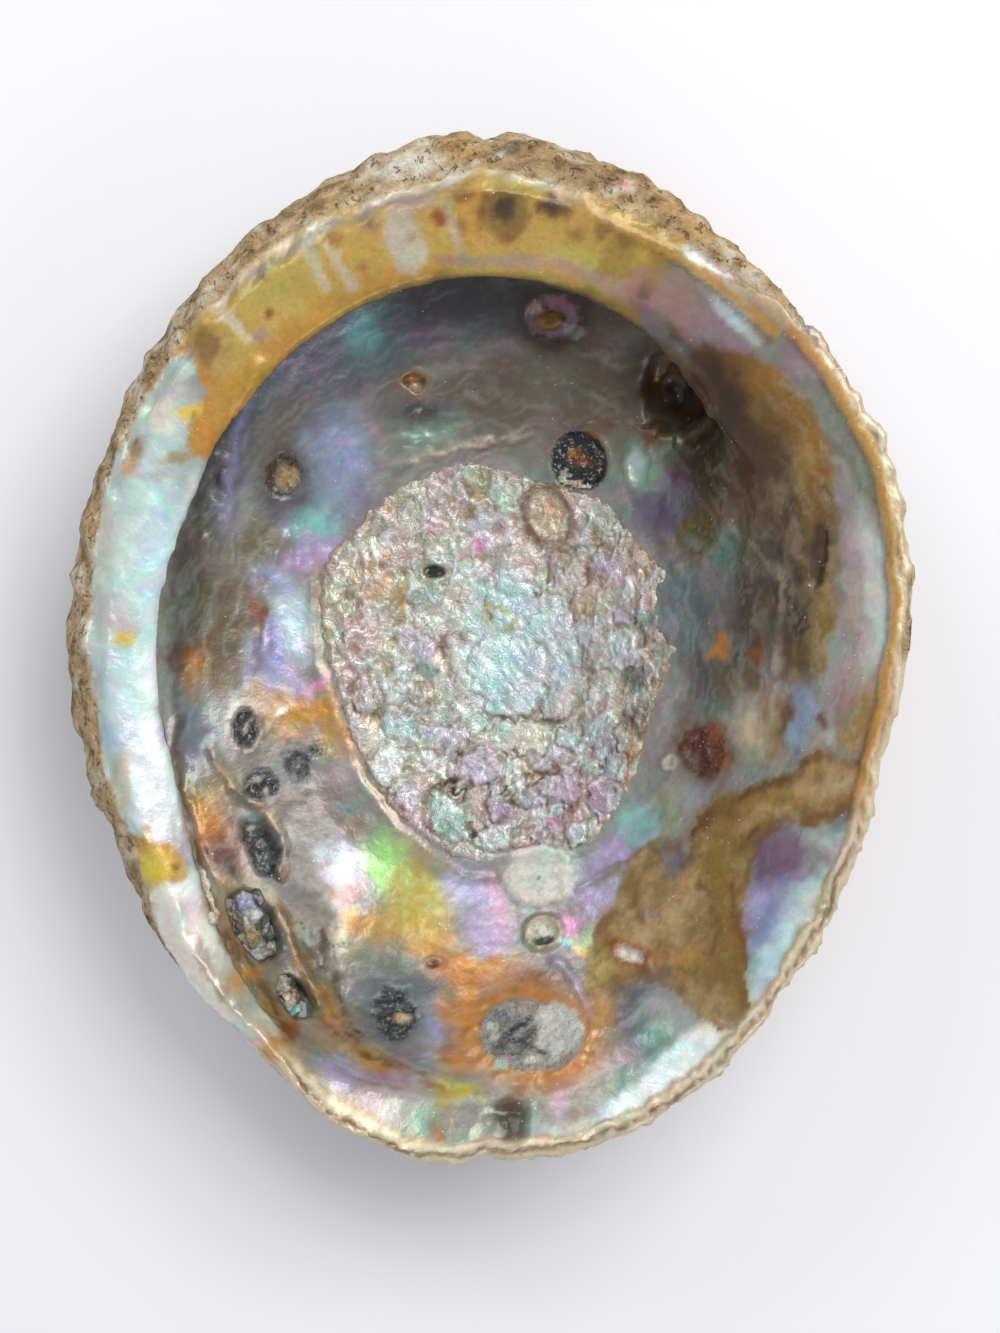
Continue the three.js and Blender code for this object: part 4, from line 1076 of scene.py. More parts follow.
# Small soft marks over the bowl and the front pores, the broad ones first; some rows are painted shade under
# the shelf.
bowlMarksAndShade = [
    ("olive", -46, -60, 9, 15, 20, 0.4), ("brown", -46, -32, 7, 10, 0, 0.3),
    ("taupe", -61, -18, 4, 9, 0, 0.4), ("tan", 37, -34, 5, 6, 0, 0.4), ("brown", 17, 64, 9, 6, 0, 0.4),
    ("oliveGold", 52, 44, 4, 7, 10, 0.35), ("olive", -36, -62, 5, 11, 18, 0.5),
    ("darkOlive", -36.4, -54, 4, 4, 0, 0.5), ("slate", -60, -18, 3, 7, 0, 0.4),
    ("taupe", -40, -45, 3, 6, 10, 0.5), ("olive", -50, -69, 3, 7, 32, 0.5),
    ("brown", -33.4, -49, 4, 2, -20, 0.5), ("olive", -40, -64, 7, 14, 20, 0.35),
    ("tan", -43, -79, 8, 3, -38, 0.5), ("taupe", -46, -22, 8, 8, 0, 0.45), ("taupe", -45, -33, 6, 5, 0, 0.45),
    # painted shade: deepShade below the left shelf's edge; darkBrown and blackBrown at the back of the bowl,
    # under the shelf
    ("deepShade", -62.6, -14, 1.6, 10, 0, 0.6), ("brown", 54, 32, 6, 10, 8, 0.45),
    ("darkBrown", 20, 66, 14, 4, -12, 0.45), ("blackBrown", -8, 69, 18, 5, 0, 0.45),
    ("darkOlive", 5, -95, 3.4, 6.5, 0, 0.9), ("seaGreen", 9.6, -96, 1.6, 4, 0, 0.6),
    ("orange", -8.6, -97.6, 1.6, 2.6, 25, 0.6), ("honey", -10, -90, 4, 1.4, -15, 0.5),
    ("charcoal", -45.8, -37.4, 3.4, 2.2, 0, 0.8), ("charcoal", -42.2, -46.6, 1.6, 3.6, 20, 0.9),
    ("taupe", -35.5, -47, 3.4, 5, 10, 0.7), ("slate", -33, -38, 5, 5, 0, 0.5),
    ("taupe", -35, -64, 4, 11, 17, 0.75), ("tan", -31, -76, 5, 4, 30, 0.6),
    ("honey", -25, -83, 7, 2, -22, 0.7), ("redBrown", -53.4, -42.4, 3, 3.4, 10, 0.9),
    ("orange", -56, -37.6, 3, 3.4, 10, 0.6), ("blackBrown", -50.6, -45.4, 1.2, 2.4, 30, 0.85),
    ("darkOlive", -38, -50, 4.6, 2.4, -28, 0.9), ("blackBrown", -40.4, -48.6, 2.2, 1.2, -30, 0.85),
    ("darkOlive", -37.4, -43, 2.6, 4.4, 0, 0.6), ("slate", -42, -25.4, 5, 3.6, 0, 0.6),
    ("darkBrown", 44, 54, 5.4, 4.4, -20, 0.95), ("darkBrown", 48, 46, 5, 6, 0, 0.8),
    ("darkBrown", 53, 39, 4, 6, 10, 0.7), ("darkBrown", 38, 60, 4, 3, -30, 0.6),
    ("slate", -42.8, -57.5, 1.8, 6.4, 22, 0.9), ("charcoal", -43.4, -53, 1.0, 3, 30, 0.7),
    ("slate", -38.2, -70.6, 1.4, 4, 24, 0.9), ("tan", -52.8, -58, 2.0, 8, 28, 0.8),
    ("brown", -50.6, -62.4, 0.9, 5, 32, 0.8), ("honey", -48.6, -66, 3, 2.6, 30, 0.8),
    ("rust", -40, -77, 3, 2, 20, 0.9), ("charcoal", -43, -70.6, 1.2, 3, 25, 0.6),
    ("taupe", -57, -61, 1.2, 5, 32, 0.5), ("olive", -37.6, -60, 2.4, 5, 18, 0.8),
    ("darkOlive", -34.4, -57, 2, 3.4, 30, 0.7), ("teal", -36.4, -59.6, 1.4, 2.4, 20, 0.6),
    ("olive", -34.6, -69, 2.2, 6, 14, 0.7), ("teal", -33.8, -66, 1, 2.6, 10, 0.5),
    ("honey", -32, -74, 1.6, 4, 20, 0.6), ("charcoal", -41.6, -46.6, 2.4, 2.6, 30, 0.8),
    ("darkOlive", -37.4, -50.4, 3.6, 2.2, -28, 0.7), ("darkBrown", 32, 54, 5, 7, 0, 0.95),
    ("brown", 37, 52, 5, 5, 30, 0.8), ("brown", 36, 57, 4, 2, -30, 0.6), ("darkBrown", 41, 48, 5, 6, 20, 0.7),
    ("blackBrown", 39, 50, 2.4, 2.4, 20, 0.8), ("darkBrown", 48, 46, 5, 7, 0, 0.7),
    ("brown", 32, 42.5, 3, 1.8, 10, 0.8), ("taupe", 41, 43, 3, 2, 0, 0.6),
    ("brown", 43, 48, 1.6, 2.4, 0, 0.5), ("orange", 47, -1.6, 1.4, 1.8, 30, 0.85),
    ("orange", 46, -2.6, 1, 0.7, 0, 0.5), ("rust", 54, -2, 1.4, 3.4, 0, 0.6),
    ("brown", 60, -15, 1.5, 3.2, -20, 0.9), ("brown", 66, -16, 1.2, 2.4, 10, 0.9),
    ("brown", 64.5, -22.3, 2.4, 1, -10, 0.8), ("blackBrown", 24, -69, 2.4, 1.2, 10, 0.4),
    ("taupe", 33, -65, 2.6, 2, 0, 0.7), ("slate", 29, -70, 4, 1.6, 8, 0.6),
    ("orange", 38, -66.5, 1.8, 0.8, 20, 0.5), ("brown", 61, -5, 4, 1.4, 20, 0.6),
    ("blackBrown", -37.6, -49.6, 3.4, 1.8, -28, 0.9), ("darkBrown", -35.4, -54.4, 3.2, 1.4, -24, 0.8),
    # painted shade: the deepShade oval at the back of the bowl, under the shelf
    ("darkBrown", -33, -61, 1.2, 4, 15, 0.6), ("deepShade", 0, 66, 18, 5, 0, 0.4),
    ("taupe", 16, 60, 8, 6, 0, 0.35), ("brown", 57, 45, 4, 7, 10, 0.4), ("olive", -4, -56, 6, 4, 0, 0.35),
    ("greyGreen", 15, -94, 7, 3, 20, 0.4),
]
# Dark slits, scalloped lavender and a few clear patches.
bowlFirm = [
    ("blackBrown", -34.4, 63.6, 4.2, 0.9, 32, 0.95), ("brown", -28.6, 67, 2.6, 0.5, 30, 0.8),
    ("lavender", -42, 11.6, 2.6, 2.8, 10, 0.6), ("lavender", -42.4, 2.4, 2.6, 3.6, -6, 0.5),
    ("lavender", -43.6, -6, 2.6, 3.2, 10, 0.6), ("blueGrey", 62.4, -15, 1.8, 6.6, -4, 0.7),
    ("plum", 58, -41.6, 5, 5, -20, 0.5), ("violetGrey", 33.6, 25, 4.4, 4.4, 0, 0.5),
    ("aqua", -48, -35.6, 1.6, 2.4, 30, 0.4),
]
bowlLines = [
    ("brown", 0.9, 0.9, [(40.6, -40), (42, -36.4), (46, -33.6), (51, -30.4), (56.6, -28), (62, -27)]),
    ("brown", 0.8, 0.8, [(56, -36), (52, -38.6), (49.6, -43), (48.4, -48), (48.8, -54), (51, -60),
                         (51.4, -66)]),
    ("olive", 1.0, 0.8, [(36, -38.4), (33.6, -43), (30.6, -47), (29, -52), (31, -57)]),
    ("brown", 0.7, 0.7, [(42, -47), (45, -52), (46.4, -57), (44, -62)]),
    ("oliveGold", 2.6, 0.6, [(47, -36), (46, -44), (47, -54), (49, -64), (47, -72)]),
    ("sand", 1.6, 0.5, [(60, -30), (66, -28.6), (72, -28.6), (76, -30)]),
    ("sand", 1.8, 0.5, [(37, -47), (38, -54), (37, -61)]),
    ("lavender", 1.6, 0.6, [(-45.5, 55), (-48.5, 48), (-50.5, 40), (-52, 31), (-53, 24)]),
    # painted shade in the groove under the shelf's edge, down the upper left and left wall
    ("deepShade", 2.0, 0.55, [(-50, 50), (-55, 40), (-58.5, 30), (-61, 18), (-62.5, 5), (-63, -8)]),
    ("brown", 0.8, 0.8, [(-63.5, -15), (-62, -25), (-60, -35), (-58, -43), (-56, -51), (-53, -58), (-48, -64),
                         (-44, -71), (-41, -77)]),
    ("brown", 0.7, 0.7, [(-56, -20), (-54.5, -26), (-50, -30), (-46, -35), (-43, -40), (-42.5, -47),
                         (-42, -52)]),
    ("sand", 0.6, 0.7, [(-55, -24), (-50, -28.8), (-45, -33), (-41.6, -38), (-40.3, -43), (-41, -48)]),
    ("tan", 1.0, 0.7, [(-44, -50), (-41, -56), (-39, -62), (-36.5, -68), (-33, -74), (-28, -79), (-20, -83)]),
    ("brown", 0.9, 0.7, [(-30, -78), (-24, -82), (-16, -85.5), (-8, -90)]),
    ("brown", 0.6, 0.8, [(-38, -52), (-33, -57), (-31, -62), (-30, -69)]),
    ("darkBrown", 0.5, 0.7, [(-36, -54), (-32.6, -59), (-33, -64), (-35, -66)]),
    ("darkBrown", 0.5, 0.9, [(-40, -50.6), (-36, -54), (-33.4, -57), (-31.2, -62), (-30.4, -69), (-28.6, -75),
                             (-24, -80)]),
    ("brown", 0.5, 0.9, [(-39, -56), (-36, -61), (-34.6, -66), (-32.4, -72), (-29, -77), (-24, -82)]),
    ("brown", 0.45, 0.8, [(-42, -52), (-39.4, -58), (-37.6, -64), (-35.4, -70), (-33, -76), (-27, -81),
                          (-18, -85)]),
    ("taupe", 0.6, 0.7, [(-20, 33), (-14, 36), (-7, 38.3), (0, 39.2), (9, 40.5), (14, 42.6)]),
    ("cream", 0.5, 0.5, [(-17, 36.8), (-12, 37.5), (-5, 39.6), (2, 40.6), (9, 41.9)]),
    ("brown", 0.7, 0.8, [(15, 43.4), (21, 44.6), (27, 43.8), (31, 43), (34, 44)]),
    ("sand", 0.6, 0.7, [(-33.6, 19), (-34.8, 10), (-34.6, 0), (-32, -9), (-28.6, -19), (-23.6, -29),
                        (-16.6, -37.6)]),
    ("oliveGold", 0.6, 0.7, [(17, -49.4), (22, -48), (27, -44.6), (31, -41.4), (35, -38)]),
    ("olive", 0.9, 0.6, [(-9, -44.4), (-5, -46.4), (0, -47.4), (5, -46.6)]),
    ("cream", 0.7, 0.25, [(57.8, 16), (59.2, 9), (58, 3), (57.6, -6)]),
    ("lilac", 0.8, 0.7, [(13, -62.6), (16, -66), (19, -70), (20.8, -76)]),
    ("cream", 0.8, 0.6, [(20.6, -78), (19, -82.4), (15, -85.6), (10, -87.6)]),
    ("tan", 0.6, 0.6, [(40, 56), (43.5, 52), (45, 48), (44.2, 44), (41, 41.5), (36, 41), (32, 42)]),
    ("tan", 0.6, 0.5, [(36, 14), (41, 16.5), (46, 20), (49, 25)]),
    ("brown", 0.6, 0.5, [(-46.6, 16), (-45, 11.6), (-44.4, 7), (-46, 3), (-46.6, -3), (-45.6, -8)]),
    ("brown", 1.2, 0.6, [(65, -27.6), (70, -24.6), (76, -24.4)]),
    ("brown", 1.2, 0.6, [(62, -33.6), (68, -35), (75, -33.6)]),
]


# Lines of growth that run round the bowl.
def growthLines(site, width, stepsRound, offset):
    turn = np.radians(site.seenAngle)
    warped = site.seenRadius + 2.2 * site.wander[0]
    where = np.column_stack([warped / width, stepsRound * np.cos(turn), stepsRound * np.sin(turn)]) + offset
    return np.array([noise.fractal(p, 0.8, 2.0, 2) for p in where.tolist()])


def paintBowl(site):
    where = site.inBowl * site.nacre
    laySoft(site, bowlSoft, where)
    layBands(site, bowlBands[:2], site.inside * site.nacre, 0.7)
    layBands(site, bowlBands[2:], site.inside * site.nacre, 0.1)
    streak = growthLines(site, 1.5, 4.0, 2.5)
    fineStreak = growthLines(site, 0.7, 9.0, 8.5)
    lay(site, where * smoothStep(0.0, 0.6, streak) * 0.1, "white")
    lay(site, where * smoothStep(0.0, 0.6, -streak) * 0.16, "taupe")
    lay(site, where * smoothStep(0.1, 0.6, fineStreak) * 0.08, "white")
    layStains(site, bowlStains, where, 0.9)
    laySoft(site, bowlOver, where, 0.8)
    stained = where * site.stain
    uneven, finer = cloud(site, 8, 3, 15.5), cloud(site, 2.6, 3, 25.5)
    lay(site, stained * smoothStep(0.05, 0.5, uneven) * 0.5, "bronze", 1)
    lay(site, stained * smoothStep(0.05, 0.5, -uneven) * 0.45, "sand", 0.8)
    lay(site, stained * smoothStep(0.1, 0.6, finer) * 0.4, "brown", 1)
    lay(site, stained * smoothStep(0.1, 0.5, fineStreak) * 0.3, "oliveGold", 1)
    laySoft(site, bowlMarksAndShade, site.inside * site.nacre, 0.6)
    layFirm(site, bowlFirm, where, 0.1, 0.6)
    layLines(site, bowlLines, where, 0.4)


# Colours of each pit: ring, ring width, ring strength, floor, floor strength, grit.
pitLooks = {
    "pinkBlister": ("darkBrown", 2.2, 1, "mauve", 0.7, 0.1),
    "goldEye": ("darkBrown", 0.7, 0.9, "honey", 1, 0), "darkPit": ("taupe", 0.8, 0.4, "charcoal", 1, 1),
    "tanEye": ("tan", 1.6, 0.6, "bronze", 0.9, 0), "darkEye": ("slate", 1.4, 0.6, "blackBrown", 0.5, 0.2),
    "boreDish": ("darkBrown", 3.4, 0.6, "darkOlive", 0.8, 0.4),
    "slateOval": ("taupe", 0.6, 0.5, "charcoal", 0.95, 0.8),
    "smallHole": ("sand", 0.6, 0.3, "charcoal", 0.9, 0.8),
    "greyPatchA": ("slate", 1.6, 0.5, "charcoal", 0.8, 0.5),
    "greyPatchB": ("slate", 1.0, 0.5, "charcoal", 0.85, 0.9),
    "closedPore": ("slate", 1.6, 0.4, "charcoal", 0.85, 0.25),
    "darkPatch": ("slate", 2.4, 0.6, "charcoal", 0.9, 0.5), "tanHole": ("charcoal", 0.8, 0.7, "sand", 1, 0.2),
    "whiteRing": ("sand", 0.7, 0.8, "chalk", 0.9, 0.4), "bigBlister": ("orange", 3.6, 0.9, "grey", 0.9, 0.45),
    "crack": ("rust", 1.0, 0.9, "chalk", 0.9, 0.3), "rustPatch": ("brown", 2.0, 0.6, "redBrown", 0.95, 0.2),
    "tinyHole": ("rust", 0.8, 0.6, "blackBrown", 1, 0), "tinyRing": ("chalk", 0.5, 0.8, "taupe", 0.6, 0),
    "smoothDisc": ("paleGrey", 1.2, 0.4, "chalk", 0.6, 0.1),
    "longHollow": ("olive", 1.4, 0.4, "darkBrown", 0.7, 0),
    "brightScoop": ("seaGreen", 0.8, 0.5, "mint", 0.6, 0),
}
# Small spots inside and round the pits.
pitExtras = [
    ("paleGrey", -41, 33.3, 1.5, 1.7, 0, 1), ("magenta", 14.5, 67.8, 2.6, 1.4, 10, 0.7),
    ("rose", 10, 67, 2, 1.6, 0, 0.5), ("paleGrey", 16.5, 62, 2, 1.6, 0, 0.5),
    ("blackBrown", 11, 67.6, 1, 1.4, 30, 0.9), ("darkBrown", 12, 64.3, 1.5, 0.8, 15, 0.7),
    ("rust", 18.6, 36, 1.8, 1.6, 0, 0.9), ("orange", 17, 38, 1.2, 0.7, 20, 0.9),
    ("rust", 21, 41.8, 1.6, 0.6, 0, 0.8), ("taupe", 22.4, 37, 0.8, 3, 10, 0.5),
    ("chalk", 15, 33.5, 1, 0.8, 0, 0.6), ("slate", 3.4, -78.6, 4.6, 5, 0, 0.7),
    ("paleGrey", 14, -77.5, 4.6, 5.4, 0, 0.9), ("chalk", 12, -75, 1.6, 1, 20, 0.6),
    ("charcoal", 5.6, -77.4, 3.6, 0.7, 28, 0.9), ("charcoal", 8, -75.4, 0.8, 0.8, 0, 0.9),
    ("charcoal", 7, -80.4, 3, 0.8, -20, 0.8), ("charcoal", 10.5, -82, 1.2, 0.7, 0, 0.8),
    ("charcoal", 3, -80, 2, 1, 40, 0.6), ("rose", 3.8, -83.6, 0.8, 1, 0, 0.8),
    ("aqua", 2.4, -84.6, 1.6, 1, 0, 0.5), ("chalk", 8.6, -83.6, 1.8, 0.8, 0, 0.7),
    ("chalk", 0.6, -78, 1, 2, 0, 0.4), ("charcoal", 8.6, -78.6, 1.6, 1, 60, 0.7),
    ("charcoal", 10.9, -59.4, 2.2, 1.1, 0, 0.95), ("charcoal", 9, -57.6, 0.5, 1, 0, 0.6),
    ("rust", 45, -17.4, 2.6, 2.4, 0, 0.5), ("rust", 46.6, -24, 2, 2.4, 0, 0.5),
    ("taupe", 40.4, -23.6, 1.4, 1.6, 0, 0.6), ("chalk", -48.4, -16.6, 0.35, 1.4, -30, 0.8),
    ("chalk", -46.2, -27, 1.2, 0.5, 20, 0.7), ("chalk", -44.6, -29.6, 0.5, 1.0, 0, 0.6),
    ("chalk", -47.4, -37, 1, 0.5, 20, 0.6), ("slate", -44.4, -43.6, 1.2, 2.0, 20, 0.5),
    ("orange", -14.8, 52.8, 1.6, 0.6, 10, 0.8), ("chalk", -14.6, 50.8, 1.6, 0.7, 0, 0.6),
    ("chalk", -14, 46.4, 0.5, 0.3, 0, 0.8), ("darkBrown", 10, -46.8, 0.3, 0.3, 0, 0.9),
]


def paintPits(site):
    for name, (ringColour, ringWidth, ringStrength, floorColour, floorStrength, gritty) in pitLooks.items():
        gap = pitDistance(site, pits[name]) + 0.3 * site.drift[1]
        ringed = ringStrength * np.exp(-(np.maximum(gap, 0) / ringWidth) ** 2)
        lay(site, site.inBowl * ringed, ringColour, 0.7)
        floor = site.inBowl * smoothStep(0.4, -0.5, gap)
        lay(site, floorStrength * floor, floorColour, 0.6)
        site.grit = np.maximum(site.grit, gritty * floor)
    layFirm(site, pitExtras, site.inBowl, 0.6, 0.3)


# Painted shade: the inside faces that look downward, under the shelf's overhang, are laid over with
# deepShade.
def paintShadeUnderShelf(site):
    under = site.inside * smoothStep(0.1, -0.35, site.normal[:, 2])
    lay(site, under, "deepShade", 0.4)


# The free lip: a brown tide line, then layers of cream and tan that end one behind the other.
def paintLip(site):
    free = (1 - site.hasShelf) * site.nacre
    gap = site.lipGap + 0.4 * site.drift[0] + 0.6 * site.wander[1]
    upper = plateau(wrapped(site.seenAngle), -27, -18, 60, 80)
    lay(site, free * smoothStep(4.6, 3.6, gap), "tan", 0.6)
    lay(site, free * np.exp(-((gap - 2.9) / 0.8) ** 2), "cream", 0.4)
    lay(site, free * np.exp(-((gap - 1.8) / 0.3) ** 2) * 0.8, "taupe", 0.6)
    lay(site, free * smoothStep(1.5, 0.9, gap) * 0.8, "cream", 0.4)
    inner = site.nacre * site.inside * upper
    wandering = site.nacreGap + 0.5 * site.wander[0]
    drifting = site.nacreGap + 0.4 * site.drift[0]
    lay(site, inner * np.exp(-((wandering - 3.6) / 1.1) ** 2) * 0.95, "ochre", 0.8)
    lay(site, inner * np.exp(-((wandering - 5.0) / 0.5) ** 2) * 0.6, "brown", 0.8)
    lay(site, inner * smoothStep(2.4, 1.4, drifting) * 0.7, "sand", 0.5)
    lay(site, inner * np.exp(-((drifting - 1.2) / 0.3) ** 2) * 0.7, "tan", 0.6)


def wrapped(angle):
    return (angle + 180) % 360 - 180


# Chalky, dark and coral spots of the crust.
crustSpots = [
    ("chalk", -15, 94.6, 6, 2.2, 8, 0.9), ("darkBrown", 3, 97, 2.6, 1.6, 0, 0.7),
    ("coral", 26, 91, 1.6, 1, 0, 0.8), ("coral", 46.5, 85, 1.6, 1, -40, 0.9),
    ("ochre", -5, 98, 6, 2.4, 0, 0.4), ("ochre", 40, 84, 10, 3, -35, 0.3),
]


def paintCrust(site):
    outer = site.crust
    big, small, fine = cloud(site, 13, 3, 3.1), cloud(site, 4, 3, 12.4), cloud(site, 1.6, 2, 20.5)
    lay(site, outer, "sand", 1)
    lay(site, outer * 0.4, "goldTan", 1)
    lay(site, outer * smoothStep(-0.1, 0.5, big) * 0.7, "tan", 1)
    lay(site, outer * smoothStep(0.1, 0.6, small) * 0.6, "chalk", 1)
    lay(site, outer * smoothStep(0.15, 0.6, -small) * 0.7, "brown", 1)
    lay(site, outer * smoothStep(0.35, 0.6, fine) * 0.5, "darkBrown", 1)
    laySoft(site, crustSpots, outer, 1)


scarSoft = [
    ("foil", 0, -4, 60, 60, 0, 1), ("tan", 2, 30, 24, 6, -8, 0.5), ("tan", -28, 8, 6, 16, 0, 0.4),
    ("aqua", 2, 4, 12, 9, 0, 0.35), ("cyanWhite", 4, -8, 13, 9, 0, 0.8), ("taupe", 31, -9, 5, 9, 0, 0.7),
    ("tan", 30, -1, 6, 3, 0, 0.6), ("sand", 28, 19, 7, 6, 0, 0.5), ("sand", 12, 15, 5, 4, 0, 0.4),
    ("taupe", -25.5, -10, 4, 5, 0, 0.5), ("blueGrey", 24, -24, 5, 5, 0, 0.5),
    ("lilac", 8, -33, 18, 8, 0, 0.5), ("tan", -8, -11, 4, 3, 0, 0.6), ("greyGreen", 8, -42, 6, 3, 0, 0.5),
    ("blueGrey", -16, -14, 8, 10, 0, 0.4),
]
scarCracks = [
    ("brown", 0.6, 0.9, [(-13, -35), (-13, -32), (-11, -28.6), (-8, -27.6), (-5, -26.6)]),
    ("blackBrown", 0.45, 0.9, [(-11.4, -29.2), (-8.4, -28), (-6.4, -27.6)]),
    ("brown", 0.8, 0.8, [(-4, 0), (-7, 3), (-9.5, 0), (-8.4, -2.6), (-7.6, -5.4), (-6.6, -9)]),
    ("brown", 0.5, 0.8, [(-6.6, -9), (-4, -12), (0, -14), (4, -15.2), (9, -14.8), (13, -16.4), (18, -13.6),
                         (20.6, -9.6), (19.4, -5)]),
    ("rust", 0.5, 0.8, [(9.4, -12.6), (9.6, -14.4), (9.4, -16)]),
    ("goldGreen", 0.5, 0.8, [(0, 4), (-0.6, 7.6), (2, 7.2), (5.4, 5.6), (5.6, 3.6), (2.6, 2.6)]),
    ("brown", 0.4, 0.8, [(-0.8, 8), (0.6, 6), (0.8, 4.6)]),
    ("darkBrown", 0.35, 0.9, [(11.6, 16.6), (11.9, 14), (11.6, 11.6)]),
    ("darkBrown", 0.35, 0.9, [(8.4, 10), (9.6, 9.7), (10.8, 9.9)]),
    ("brown", 0.45, 0.8, [(5, -27.4), (10, -26), (16, -25.6), (19.4, -29), (17.4, -33), (14, -36), (8, -37),
                          (4, -39.6)]),
    ("orange", 0.9, 0.6, [(28.6, -17), (28.6, -24), (27, -31)]),
    ("violetGrey", 0.8, 0.7, [(24.6, -19), (24.6, -22.6), (23.6, -26)]),
    ("brown", 0.5, 0.7, [(27, -12), (29, -16), (32, -19), (33, -24), (31, -29)]),
    ("brown", 0.5, 0.7, [(12, 13), (12.5, 18), (17, 19), (22, 20), (26, 18)]),
    ("brown", 0.5, 0.7, [(23.6, 12), (25, 8), (29.6, 4.6), (32.6, 0)]),
    ("brown", 0.5, 0.7, [(30, 0), (34, 1), (38, -1), (35, -6), (34, -12)]),
    ("darkBrown", 0.45, 0.7, [(-10, -10.6), (-8, -12.4), (-6.4, -11.2), (-7, -13.4)]),
    ("darkOlive", 0.7, 0.8, [(-25, -5.6), (-27.6, -8), (-27.6, -11.6), (-25, -14.6), (-22, -14),
                             (-21.4, -10)]),
    ("brown", 0.45, 0.7, [(-21, -20), (-14, -21.6), (-8, -21)]),
    ("ochre", 0.5, 0.7, [(-17.4, 13), (-17, 9), (-17.6, 6.4)]),
    ("goldGreen", 0.5, 0.6, [(-13, 7.4), (-10, 7.2), (-8, 8)]),
    ("brown", 0.5, 0.7, [(-5, -27), (-4.6, -31), (-5, -37)]),
    ("brown", 0.4, 0.7, [(-0.6, -29), (-0.6, -34)]),
    ("darkBrown", 0.4, 0.7, [(-14.4, 17), (-13, 18.6)]),
    ("orange", 0.4, 0.6, [(9, 13), (9.8, 15.6)]),
]
scarFirm = [
    ("pink", -2.2, 19.6, 1.6, 1.1, 0, 0.9), ("teal", -12.6, -5.2, 2.4, 1.8, 0, 0.6),
    ("chalk", -10.4, -3.6, 1.8, 1.6, 0, 0.8), ("slate", 29, -7, 3, 2.8, 0, 0.7),
    ("rose", 13, 26.6, 1.4, 3.2, 28, 0.8), ("pink", 13, -36, 1.8, 1.2, 0, 0.7),
    ("pink", 26.6, 12, 1.6, 1, 30, 0.5), ("white", -20.4, -25, 3, 2.8, 0, 0.7),
    ("brown", 31, -15, 3.4, 3.6, 0, 0.5), ("charcoal", 27.6, -15, 1.6, 2.4, 0, 0.4),
    ("aqua", 30, 5, 1.6, 2.2, 0, 0.5), ("teal", 33, 5, 1.2, 2, 0, 0.5),
]


flakeColours = ["cyanWhite", "lilac", "sand", "aqua", "white", "paleGrey", "lavender"]
fineFlakeColours = ["white", "pink", "cyanWhite", "taupe", "white", "sand"]


# One of the colours for each flake, by the flake's own number from 0 to 1.
def layPicks(site, pick, names, strength):
    for i, name in enumerate(names):
        chosen = (pick > i / len(names)) & (pick <= (i + 1) / len(names))
        lay(site, chosen * strength, name)


def paintScar(site):
    where = np.ones(len(site.x))
    laySoft(site, scarSoft, where)
    layPicks(site, site.flakePick, flakeColours, 0.35)
    layPicks(site, site.finePick, fineFlakeColours, 0.22)
    own = site.flakeMask * 0.55
    site.tint += own[:, None] * (site.flakeShade - site.tint)
    lay(site, smoothStep(-0.1, -0.7, site.ripple) * 0.45, "tan", 0.4)
    middle = np.exp(-((site.x - 4) / 11) ** 2 - ((site.y + 1) / 14) ** 2)
    lay(site, middle * 0.9, "cyanWhite")
    lay(site, middle * smoothStep(-0.2, 0.4, site.wander[1]) * 0.45, "aqua")
    lay(site, (1 - middle) * 0.28, "tan", 0.3)
    # painted highlights: white on the raised striae (teal in their troughs) and along the folds and fine
    # folds
    lay(site, smoothStep(0.1, 0.6, site.striae) * 0.6, "white")
    lay(site, smoothStep(-0.1, -0.6, site.striae) * 0.35, "teal")
    lay(site, site.fold * 0.5, "white")
    lay(site, site.fineFold * 0.35, "white")
    layFirm(site, scarFirm, where, 0.2, 0.4)
    shade = np.clip(0.75 + 0.8 * site.wander[0], 0.1, 1)
    lay(site, np.clip(1.3 * site.crack, 0, 1) * 0.95 * shade, "brown", 0.8)
    lay(site, np.clip(1.3 * site.crack - 0.7, 0, 1) * smoothStep(0.1, 0.5, site.wander[1]), "blackBrown", 0.9)
    layLines(site, scarCracks, where, 0.8)
    rim = np.exp(-((site.oval - 0.1) / 0.9) ** 2)
    lay(site, rim * 0.7, "brown", 0.7)
    lay(site, rim * smoothStep(0.1, 0.6, site.drift[0]) * 0.8, "rust", 0.7)
    lay(site, smoothStep(-0.4, -1.6, site.oval) * 0.45, "sand")
    # painted shade: the hole is only a shallow dip, laid black-brown as if it were deep
    lay(site, site.hole, "blackBrown", 1)
    lay(site, np.exp(-((site.fromScar + 0.2) / 0.7) ** 2) * 0.4, "tan", 0.5)


def writeField(mesh, name, values):
    if values.ndim == 2:
        made = mesh.attributes.new(name, "FLOAT_COLOR", "POINT")
        flat = np.ones((len(values), 4), np.float32)
        flat[:, :3] = np.clip(values, 0, 1)
        made.data.foreach_set("color", flat.ravel())
    else:
        made = mesh.attributes.new(name, "FLOAT", "POINT")
        made.data.foreach_set("value", values.astype(np.float32))


def writeFields(site, scar, crust):
    writeField(site.mesh, "tint", site.tint)
    writeField(site.mesh, "stain", np.clip(site.stain, 0, 1))
    writeField(site.mesh, "grit", np.clip(site.grit, 0, 1))
    writeField(site.mesh, "scar", scar)
    writeField(site.mesh, "crust", crust)


findZones(shellSite)
applyRelief(shellSite)
print("shell relief done")
paintShelf(shellSite)
paintBowl(shellSite)
paintPits(shellSite)
paintShadeUnderShelf(shellSite)
paintLip(shellSite)
paintCrust(shellSite)
enrich(shellSite, richer["shell"], shellSite.nacre * (1 - np.clip(shellSite.stain, 0, 1)))
writeFields(shellSite, np.zeros(len(shellSite.x)), shellSite.crust)
print("shell colours laid")

